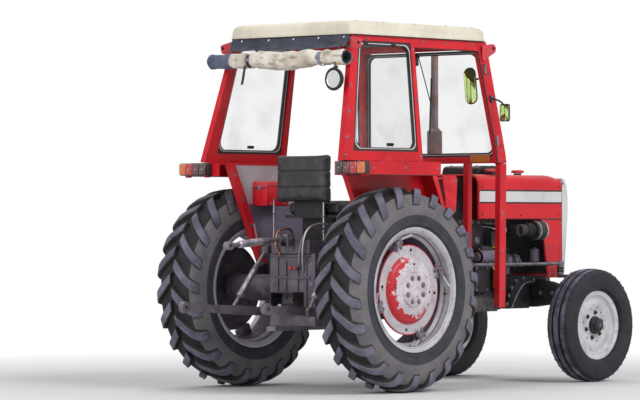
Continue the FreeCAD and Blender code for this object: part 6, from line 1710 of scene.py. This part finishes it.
        piece.lathe((1.8735, -0.315, 0.99), FORWARD, [(0.02, 0), (0.02, 0.006), (0.016, 0.008),
                                                         (0, 0.008)], "dull_steel", 24)
        for x in (1.775, 1.845):
            piece.lathe((x, -0.315, 0.99), FORWARD, [(0.062, 0), (0.0638, 0.001),
                                                        (0.0638, 0.011), (0.062, 0.012)],
                        "steel", 40)
        piece.block((1.79, -0.262, 0.955), (1.86, -0.25, 1.063), "black_paint", 0.002)
        piece.block((1.792, -0.3, 1.04), (1.858, -0.25, 1.052), "black_paint", 0.002)
        for x in (1.3, 1.57):
            piece.bolts([(x + 0.015, -0.209, 0.745)], RIGHT, 0.007)
        for x in (1.315, 1.425):
            for z in (0.603, 0.745):
                piece.bolts([(x, -0.209, z)], RIGHT, 0.006)
        piece.done("cast_dark")

        beam = Piece("axle_fittings")
        for side in (-1, 1):
            for x in (1.9415, 2.0285):
                way = Vector((1 if x > 2 else -1, 0, 0))
                for y in (0.235, 0.335, 0.42):
                    beam.bolts([(x, y * side, 0.576)], way, 0.01)
            beam.block((1.95, 0.2 * side, 0.6085), (2.02,
                       0.45 * side, 0.6155), "black_paint", 0.003)
        web = [(-0.465, 0.548), (-0.3, 0.5), (-0.16, 0.482)]
        web += [(-y, z) for y, z in web[::-1]]
        web += [(y, z) for y, z in ((0.465, 0.606), (0.3, 0.65), (0.16, 0.668), (-0.16, 0.668),
            (-0.3, 0.65), (-0.465, 0.606))]
        beam.slab(web, 0.066, "cast_black", facing((1.952, 0, 0), LEFT, UP), 0.006)
        beam.lathe((2.068, 0, 0.576), FORWARD, [(0.034, 0), (0.034, 0.006), (0.026, 0.01),
                                                  (0, 0.011)], "dull_steel", 28)
        beam.done("black_paint")

        for name, side in SIDES:
            link = Piece("link_boots_" + name)
            centre = Vector((1.985, 0.37 * side, 0.77))
            link.lathe(centre - UP * 0.058, UP, [(0.014, 0), (0.0225, 0.004), (0.0245, 0.014),
                (0.0215, 0.02), (0.0235, 0.026), (0.0235, 0.036)], "rubber_seal", 28)
            link.lathe(centre, UP, [(0.0235, -0.012), (0.0242, -0.008), (0.0242, 0.014),
                (0.02, 0.0175), (0.006, 0.0175), (0.005, 0.0205), (0, 0.021)], "dull_steel", 28)
            link.rod((1.85, 0.37 * side, 0.77), (1.864, 0.37 * side, 0.77), 0.0185, "dull_steel", 6)
            link.done("steel", "drag_link_" + name)
            knuckle = Piece("knuckle_fittings_" + name)
            top = Vector((1.985, 0.475 * side, 0.699))
            knuckle.lathe(top, UP, [(0.021, 0), (0.021, 0.004), (0.0165, 0.006), (0.0165, 0.014),
                (0.012, 0.017), (0, 0.017)], "dull_steel", 6)
            knuckle.rod(top + Vector((0.0, -0.012 * side, -0.011)),
                        top + Vector((0.034, -0.012 * side, -0.011)), 0.006, "dull_steel", 6)
            knuckle.done("cast_dark", "knuckle_" + name)
        return {"FINISHED"}


# Hitch

TOP_LINK = (Vector((-0.277, 0, 0.945)), Vector((-0.8, 0, 0.9)))


class TRACTOR_OT_hitch(bpy.types.Operator):
    """Turnbuckle sleeves, pins, pipes and levers of the rear linkage"""

    bl_idname = "tractor.hitch"
    bl_label = "Hitch"

    def execute(self, context):
        link = Piece("top_link_sleeve")
        start, end = TOP_LINK
        way = (end - start).normalized()
        long = (end - start).length
        profile = [(0.015, long * 0.44), (0.0218, long * 0.45)]
        for step in range(22):
            at = long * 0.45 + 0.004 + step * 0.0085
            profile += [(0.0228, at), (0.0228, at + 0.0045), (0.0205, at + 0.0055),
                        (0.0205, at + 0.008)]
        profile += [(0.0218, long * 0.45 + 0.193), (0.015, long * 0.45 + 0.197)]
        link.lathe(start, way, profile, "steel", 28)
        link.lathe(start, way, [(0.0152, 0.055), (0.0205, 0.056), (0.0205, 0.072),
                                (0.0152, 0.073)], "dull_steel", 6)
        link.pipe([start + way * long * 0.5 + Vector((0, 0.01, 0.018)),
                   start + way * long * 0.5 + Vector((0, 0.02, 0.07)),
                   start + way * long * 0.52 + Vector((0, 0.02, 0.11))], 0.006, "dull_steel")
        link.done("steel", "top_link")

        for name, side in SIDES:
            rod = Piece("lift_rod_fittings_" + name)
            top = Vector((-0.17, 0.277 * side, 0.872))
            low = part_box("lift_rod_" + name)
            foot = Vector((-0.43, (low[0][1] + 0.013) if side < 0 else (low[1][1] - 0.013), 0.5006))
            line = (foot - top).normalized()
            full = (foot - top).length
            rod.lathe(top, line, [(0.0135, full * 0.34), (0.0205, full * 0.35),
                (0.0205, full * 0.39), (0.0198, full * 0.4), (0.0198, full * 0.72),
                (0.0215, full * 0.73), (0.0215, full * 0.78), (0.0135, full * 0.79)], "steel", 24)
            rod.lathe(top, line, [(0.0138, full * 0.26), (0.0195, full * 0.265),
                                  (0.0195, full * 0.3), (0.0138, full * 0.305)], "dull_steel", 6)
            rod.bolts([top + Vector((0, 0.0135 * side, 0))], (0, side, 0), 0.012)
            rod.done("steel", "lift_rod_" + name)

        fixed = Piece("hitch_fittings")
        for side in (-1, 1):
            for z in (0.44, 0.54, 0.66, 0.78):
                fixed.bolts([(-0.225, 0.16 * side, z)], REAR, 0.01)
            for x in (-0.16, -0.04, 0.08, 0.2):
                fixed.bolts([(x, 0.172 * side, 0.85)], UP, 0.01)
            for x in (-0.22, -0.06, 0.1, 0.22):
                fixed.bolts([(x, 0.135 * side, 0.93)], UP, 0.009)
            for step in range(8):
                turn = step * math.tau / 8 + 0.2
                fixed.bolts([(0.107 * math.sin(turn), 0.19 * side, 0.63 + 0.107 * math.cos(turn))],
                           (0, side, 0), 0.009)
            fixed.lathe((0, 0.19 * side, 0.63), (0, side, 0), [(0.126, 0), (0.126, 0.01),
                (0.118, 0.014), (0.096, 0.022), (0.0845, 0.04)], "cast_dark", 40)
            for step in range(6):
                turn = step * math.tau / 6
                way = Vector((math.sin(turn), 0, math.cos(turn)))
                fixed.rod(Vector((0, 0.195 * side, 0.63)) + way * 0.088,
                          Vector((0, 0.3 * side, 0.63)) + way * 0.08, 0.006, "cast_dark", 8)
            for x in (-0.236, -0.232):
                fixed.block((x, 0.05 * side - 0.006, 0.5), (x + 0.012, 0.05 * side + 0.006, 0.8),
                            "cast_dark", 0.003)
        for y in (-0.12, 0.12):
            fixed.block((-0.237, y - 0.007, 0.47), (-0.224, y + 0.007, 0.835), "cast_dark", 0.003)
        for z in (0.7, 0.835):
            fixed.block((-0.237, -0.15, z - 0.007), (-0.224, 0.15, z + 0.007), "cast_dark", 0.003)
        fixed.lathe((-0.2255, 0, 0.52), REAR, [(0.062, 0), (0.062, 0.008), (0.054, 0.012),
            (0.03, 0.013), (0.022, 0.016), (0.022, 0.004)], "cast_dark", 36)
        for step in range(6):
            turn = step * math.tau / 6
            fixed.bolts([(-0.2375, 0.046 * math.sin(turn), 0.52 + 0.046 * math.cos(turn))],
                       REAR, 0.006)
        for step in range(12):
            turn = step * math.tau / 12
            way = Vector((0, math.sin(turn), math.cos(turn))) * 0.0166
            fixed.block(Vector((-0.344, -0.0018, -0.0018)) + way + Vector((0, 0, 0.52)),
                        Vector((-0.275, 0.0018, 0.0018)) + way + Vector((0, 0, 0.52)), "steel",
                        0.0005)
        fixed.pipe([(-0.05, -0.15, 0.93), (-0.06, -0.152, 0.985), (-0.15, -0.15, 1.01),
            (-0.236, -0.13, 0.985), (-0.258, -0.1, 0.9), (-0.252, -0.08, 0.79),
            (-0.238, -0.075, 0.76)], 0.0075, "dull_steel")
        fixed.pipe([(0.06, -0.15, 0.93), (0.05, -0.158, 1.000), (-0.12, -0.162, 1.035),
            (-0.24, -0.15, 1.005), (-0.268, -0.128, 0.9), (-0.25, -0.112, 0.76),
            (-0.236, -0.105, 0.735)], 0.0075, "steel")
        fixed.pipe([(-0.245, 0.085, 0.84), (-0.262, 0.105, 0.9), (-0.235, 0.11, 0.985),
            (-0.14, 0.1, 1.000), (-0.1, 0.1, 0.932)], 0.0075, "copper")
        for y, z in ((-0.06, 0.76), (-0.02, 0.76)):
            fixed.rod((-0.226, y, z), (-0.262, y, z), 0.013, "dull_steel", 6)
            fixed.rod((-0.262, y, z), (-0.276, y, z), 0.01, "pinker_red_and_highlight", 16)
        for y, high, lean in ((0.215, 1.16, -0.05), (-0.2, 1.2, 0.03), (-0.235, 1.12, 0.05)):
            base = Vector((0.19, y * 0.8, 0.928))
            tip = Vector((0.19 + lean, y, high))
            fixed.pipe([base, base.lerp(tip, 0.5) + Vector((0.012, 0, 0)), tip], 0.006,
                       "dull_steel")
            fixed.lathe(tip - UP * 0.004, UP, [(0.006, -0.012), (0.012, -0.006), (0.0155, 0.006),
                (0.012, 0.018), (0, 0.022)], "plastic", 20)
            fixed.lathe(base - UP * 0.002, UP, [(0.02, 0), (0.018, 0.008), (0.01, 0.016),
                                                (0.006, 0.024)], "rubber_seal", 20)
        for y in (-0.037, 0.037):
            way = (0, -1 if y < 0 else 1, 0)
            fixed.bolts([(-0.277, y, 0.945)], way, 0.013)
        for x, y, low, high in ((0.0, 0.367, 0.708, 1.191), (-0.1, -0.149, 0.926, 1.176)):
            fixed.rod((x, y, low), (x, y, high), 0.0065, "steel", 12)
            for z in (low, low + 0.05, high - 0.1, high - 0.008):
                fixed.rod((x, y, z), (x, y, z + 0.012), 0.012, "dull_steel", 6)
        fixed.done("cast_dark")
        return {"FINISHED"}


# Platform

class TRACTOR_OT_platform(bpy.types.Operator):
    """Rubber mats, tread strips, pedal pads, instruments and the gear levers' boots"""

    bl_idname = "tractor.platform"
    bl_label = "Platform"

    def execute(self, context):
        piece = Piece("platform_fittings")
        for side in (-1, 1):
            low, high = sorted((0.19 * side, 0.545 * side))
            piece.block((0.67, low, 0.5602), (1.085, high, 0.5662), "mat", 0.002)
            for step in range(11):
                y = low + 0.018 + step * (high - low - 0.036) / 10
                piece.block((0.69, y - 0.0045, 0.5655), (1.065, y + 0.0045, 0.569), "mat", 0.001)
        for y in (-0.275, -0.215, 0.285):
            piece.block((0.848, y - 0.027, 0.7105), (0.932, y + 0.027, 0.7165), "rubber_seal",
                0.002)
            for step in range(5):
                x = 0.86 + step * 0.015
                piece.block((x - 0.003, y - 0.023, 0.716), (x + 0.003, y + 0.023, 0.7195),
                            "rubber_seal", 0.001)
        cluster = facing((0.9245, 0, 1.256), RIGHT, (0.5145, 0, 0.8575))
        piece.plate((-0.15, -0.078), (0.15, 0.078), 0.02, 0.006, "plastic", cluster, 0.002)
        for across, radius in ((-0.092, 0.04), (0.0, 0.052), (0.092, 0.04)):
            centre = cluster @ Vector((across, 0, 0.006))
            out = cluster.to_3x3() @ UP
            piece.lathe(centre, out, [(radius, 0), (radius, 0.006), (radius - 0.004, 0.008),
                (radius - 0.006, 0.004), (0, 0.004)], ["chrome", "chrome", "chrome", "black_and_hole_shade"], 36)
            for step in range(9):
                turn = math.radians(-120 + step * 30)
                spot = Vector((across, 0, 0.0098))
                way = Vector((math.sin(turn), math.cos(turn), 0))
                tick = cluster @ Matrix.Translation(spot + way * (radius - 0.012))
                tick = tick @ Matrix.Rotation(-turn, 4, "Z")
                piece.block((-0.0008, -0.0035, 0), (0.0008, 0.0035, 0.0008), "white_paint", 0, tick)
            needle = cluster @ Matrix.Translation((across, 0, 0.0112))
            needle = needle @ Matrix.Rotation(0.6, 4, "Z")
            piece.block((-0.001, -0.006, 0), (0.001, radius - 0.016, 0.001), "orange_paint", 0,
                        needle)
        for across in (-0.128, -0.046, 0.046, 0.128):
            centre = cluster @ Vector((across, -0.058, 0.006))
            piece.lathe(centre, cluster.to_3x3() @ UP, [(0.009, 0), (0.009, 0.008), (0.006, 0.01),
                                                        (0, 0.01)], "dull_steel", 20)
        for x, y in ((0.56, -0.06), (0.6, 0.06)):
            piece.lathe((x, y, 0.82), UP, [(0.046, 0), (0.046, 0.004), (0.034, 0.01),
                (0.036, 0.018), (0.026, 0.026), (0.028, 0.034), (0.018, 0.042), (0.01, 0.06)],
                "rubber_seal", 28)
        piece.lathe((0.66 + 0.047, 0, 1.29 - 0.082), (-0.5, 0, 0.866), [
            (0.03, 0), (0.034, 0.01), (0.03, 0.03)], "plastic", 28)
        piece.done("black_paint")

        cap = Piece("steering_wheel_cap")
        lean = Vector((-0.5, 0, 0.866))
        hub = Vector((0.66, 0, 1.29))
        cap.lathe(hub, lean, [(0.0385, 0.004), (0.04, 0.01), (0.038, 0.0165), (0.03, 0.0195),
            (0.028, 0.018), (0, 0.0205)], "plastic", 40)
        cap.done("steering_plastic", "steering_wheel")
        return {"FINISHED"}


# Solids and stage

PLAIN_NODES = {
    "rear_axle_housing": "cast_dark", "gearbox_housing": "cast_dark", "engine_block": "cast_engine",
    "front_support": "cast_black", "front_axle_beam": "cast_black", "nose_panels": "red_paint",
    "radiator": "radiator_core", "exhaust": "rusty_pipe", "engine_accessories": "cast_black",
    "dash_cowl": "black_paint", "controls": "black_paint", "cab_floor": "mat",
    "seat_frame": "black_paint", "pto_guard": "black_paint", "drawbar": "dull_steel",
    "pto_shaft": "steel", "steering_wheel": "plastic", "lift_arms": "cast_dark",
    "lower_link_right": "dull_steel", "lower_link_left": "dull_steel", "top_link": "dull_steel",
    "lift_rod_right": "dull_steel", "lift_rod_left": "dull_steel", "drag_link_right": "dull_steel",
    "drag_link_left": "dull_steel", "mirrors": "plastic", "windows": "glass",
}
SLOT_FINISHES = {
    "red_paint": "red_paint", "roof_cream": "roof_cream", "white_paint": "white_paint",
    "silver_paint": "silver_paint", "black_paint": "black_paint", "cast_dark": "cast_dark",
    "tyre": "rubber_wall", "glass": "glass", "steel": "steel", "floor_steel": "mat",
    "curtain": "cloth_cream", "seat_vinyl": "vinyl", "steering_plastic": "plastic",
    "lamp_lens": "lens_red", "lamp_glass": "lens_clear", "mirror": "mirror_painted_green_reflection",
}


class TRACTOR_OT_solids(bpy.types.Operator):
    """Finish of the drawing's own solids"""

    bl_idname = "tractor.solids"
    bl_label = "Solids"

    def execute(self, context):
        scene = context.scene
        make_finishes(scene.tractor_paint, scene.tractor_tyres, scene.tractor_fabric)
        for name, thing in NODES.items():
            finish = PLAIN_NODES.get(name, SLOT_FINISHES[SLOTS[name]])
            thing.data.materials.clear()
            thing.data.materials.append(FINISHES[finish])
        return {"FINISHED"}


def rays_that_see_white(tree):
    """A mask for the camera's, mirrors' and glass's own rays."""
    path = tree.nodes.new("ShaderNodeLightPath")
    mask = path.outputs["Is Camera Ray"]
    for name in ("Is Glossy Ray", "Is Transmission Ray"):
        both = tree.nodes.new("ShaderNodeMath")
        both.operation = "MAXIMUM"
        tree.links.new(mask, both.inputs[0])
        tree.links.new(path.outputs[name], both.inputs[1])
        mask = both.outputs["Value"]
    return mask


class TRACTOR_OT_stage(bpy.types.Operator):
    """Floor, white surroundings, lamps and camera"""

    bl_idname = "tractor.stage"
    bl_label = "Stage"

    def execute(self, context):
        scene = context.scene
        scene.view_settings.view_transform = "Standard"
        self.floor(scene)
        self.surroundings(scene)
        for name, energy, size, where in (("key", 760, 6, (0, -10, 9)),
                                          ("fill", 560, 8, (-12, -1, 6)),
                                          ("top", 240, 6, (3, 4, 10))):
            data = bpy.data.lights.new(name, "AREA")
            data.energy = energy
            data.size = size
            lamp = bpy.data.objects.new(name, data)
            lamp.location = where
            lamp.rotation_euler = (Vector((0, 0, 1)) - lamp.location).to_track_quat(
                "-Z", "Y").to_euler()
            scene.collection.objects.link(lamp)
        data = bpy.data.cameras.new("camera")
        data.sensor_width = 36
        data.lens = 203.0
        data.clip_end = 200
        camera = bpy.data.objects.new("camera", data)
        camera.location = (-17.485, -15.193, 1.052)
        camera.rotation_euler = Vector((0.7411, 0.6714, 0.0058)).to_track_quat("-Z", "Y").to_euler()
        scene.collection.objects.link(camera)
        scene.camera = camera
        return {"FINISHED"}

    def floor(self, scene):
        """A pale floor that goes to white away from the tractor."""
        form = bmesh.new()
        bmesh.ops.create_circle(form, cap_ends=True, radius=40, segments=64)
        data = bpy.data.meshes.new("floor")
        form.to_mesh(data)
        form.free()
        floor = bpy.data.objects.new("floor", data)
        scene.collection.objects.link(floor)
        pale = Finish("floor_pale", (0.8, 0.8, 0.8), 0.9)
        pale.layer(pale.patches(1.5, 0.4, 0.7), (0.77, 0.77, 0.77), 0.9)
        pale.done()
        tree = pale.tree
        far = tree.nodes.new("ShaderNodeVectorMath")
        far.operation = "LENGTH"
        tree.links.new(pale.place, far.inputs[0])
        mask = pale.sum(pale.between(far.outputs["Value"], 2.4, 6.0), rays_that_see_white(tree))
        glow = tree.nodes.new("ShaderNodeEmission")
        glow.inputs["Strength"].default_value = 1.0
        mix = tree.nodes.new("ShaderNodeMixShader")
        tree.links.new(mask, mix.inputs["Fac"])
        tree.links.new(pale.shader.outputs["BSDF"], mix.inputs[1])
        tree.links.new(glow.outputs["Emission"], mix.inputs[2])
        tree.links.new(mix.outputs["Shader"], tree.nodes["Material Output"].inputs["Surface"])
        data.materials.append(pale.material)

    def surroundings(self, scene):
        """A soft grey light whose background the camera sees as white."""
        world = bpy.data.worlds.new("studio")
        world.use_nodes = True
        tree = world.node_tree
        light = tree.nodes["Background"]
        light.inputs["Color"].default_value = (0.93, 0.96, 1, 1)
        light.inputs["Strength"].default_value = 0.34
        white = tree.nodes.new("ShaderNodeBackground")
        white.inputs["Color"].default_value = (1, 1, 1, 1)
        mix = tree.nodes.new("ShaderNodeMixShader")
        tree.links.new(rays_that_see_white(tree), mix.inputs["Fac"])
        tree.links.new(light.outputs["Background"], mix.inputs[1])
        tree.links.new(white.outputs["Background"], mix.inputs[2])
        tree.links.new(mix.outputs["Shader"], tree.nodes["World Output"].inputs["Surface"])
        scene.world = world


OPERATORS = (
    TRACTOR_OT_stage, TRACTOR_OT_solids, TRACTOR_OT_rear_tyres, TRACTOR_OT_rear_wheels,
    TRACTOR_OT_front_wheels, TRACTOR_OT_bonnet, TRACTOR_OT_nose, TRACTOR_OT_windows,
    TRACTOR_OT_roof, TRACTOR_OT_cab_trim, TRACTOR_OT_curtain, TRACTOR_OT_seat,
    TRACTOR_OT_lamps, TRACTOR_OT_mirrors, TRACTOR_OT_toolbox, TRACTOR_OT_fender_trim,
    TRACTOR_OT_engine, TRACTOR_OT_hitch, TRACTOR_OT_platform,
)


class TRACTOR_PT_parts(bpy.types.Panel):
    """The tractor's colours and the pieces that can be made"""

    bl_idname = "TRACTOR_PT_parts"
    bl_label = "Tractor"
    bl_space_type = "VIEW_3D"
    bl_region_type = "UI"
    bl_category = "Tractor"

    def draw(self, context):
        layout = self.layout
        for group in ("tractor_paint", "tractor_tyres", "tractor_fabric"):
            settings = getattr(context.scene, group)
            column = layout.column()
            for name in settings.__annotations__:
                column.prop(settings, name)
        for operator in OPERATORS:
            layout.operator(operator.bl_idname)


GROUPS = {"tractor_paint": TractorPaint, "tractor_tyres": TractorTyres,
          "tractor_fabric": TractorFabric}


def register():
    """Registers the settings, the operators and the panel."""
    for name, group in GROUPS.items():
        bpy.utils.register_class(group)
        setattr(bpy.types.Scene, name, PointerProperty(type=group))
    for item in (*OPERATORS, TRACTOR_PT_parts):
        bpy.utils.register_class(item)


def unregister():
    """Takes them all out again."""
    for item in (TRACTOR_PT_parts, *reversed(OPERATORS)):
        bpy.utils.unregister_class(item)
    for name, group in reversed(GROUPS.items()):
        delattr(bpy.types.Scene, name)
        bpy.utils.unregister_class(group)


def main():
    """Builds the whole tractor."""
    register()
    for operator in OPERATORS:
        getattr(bpy.ops.tractor, operator.bl_idname.split(".")[1])()


if __name__ == "__main__":
    main()
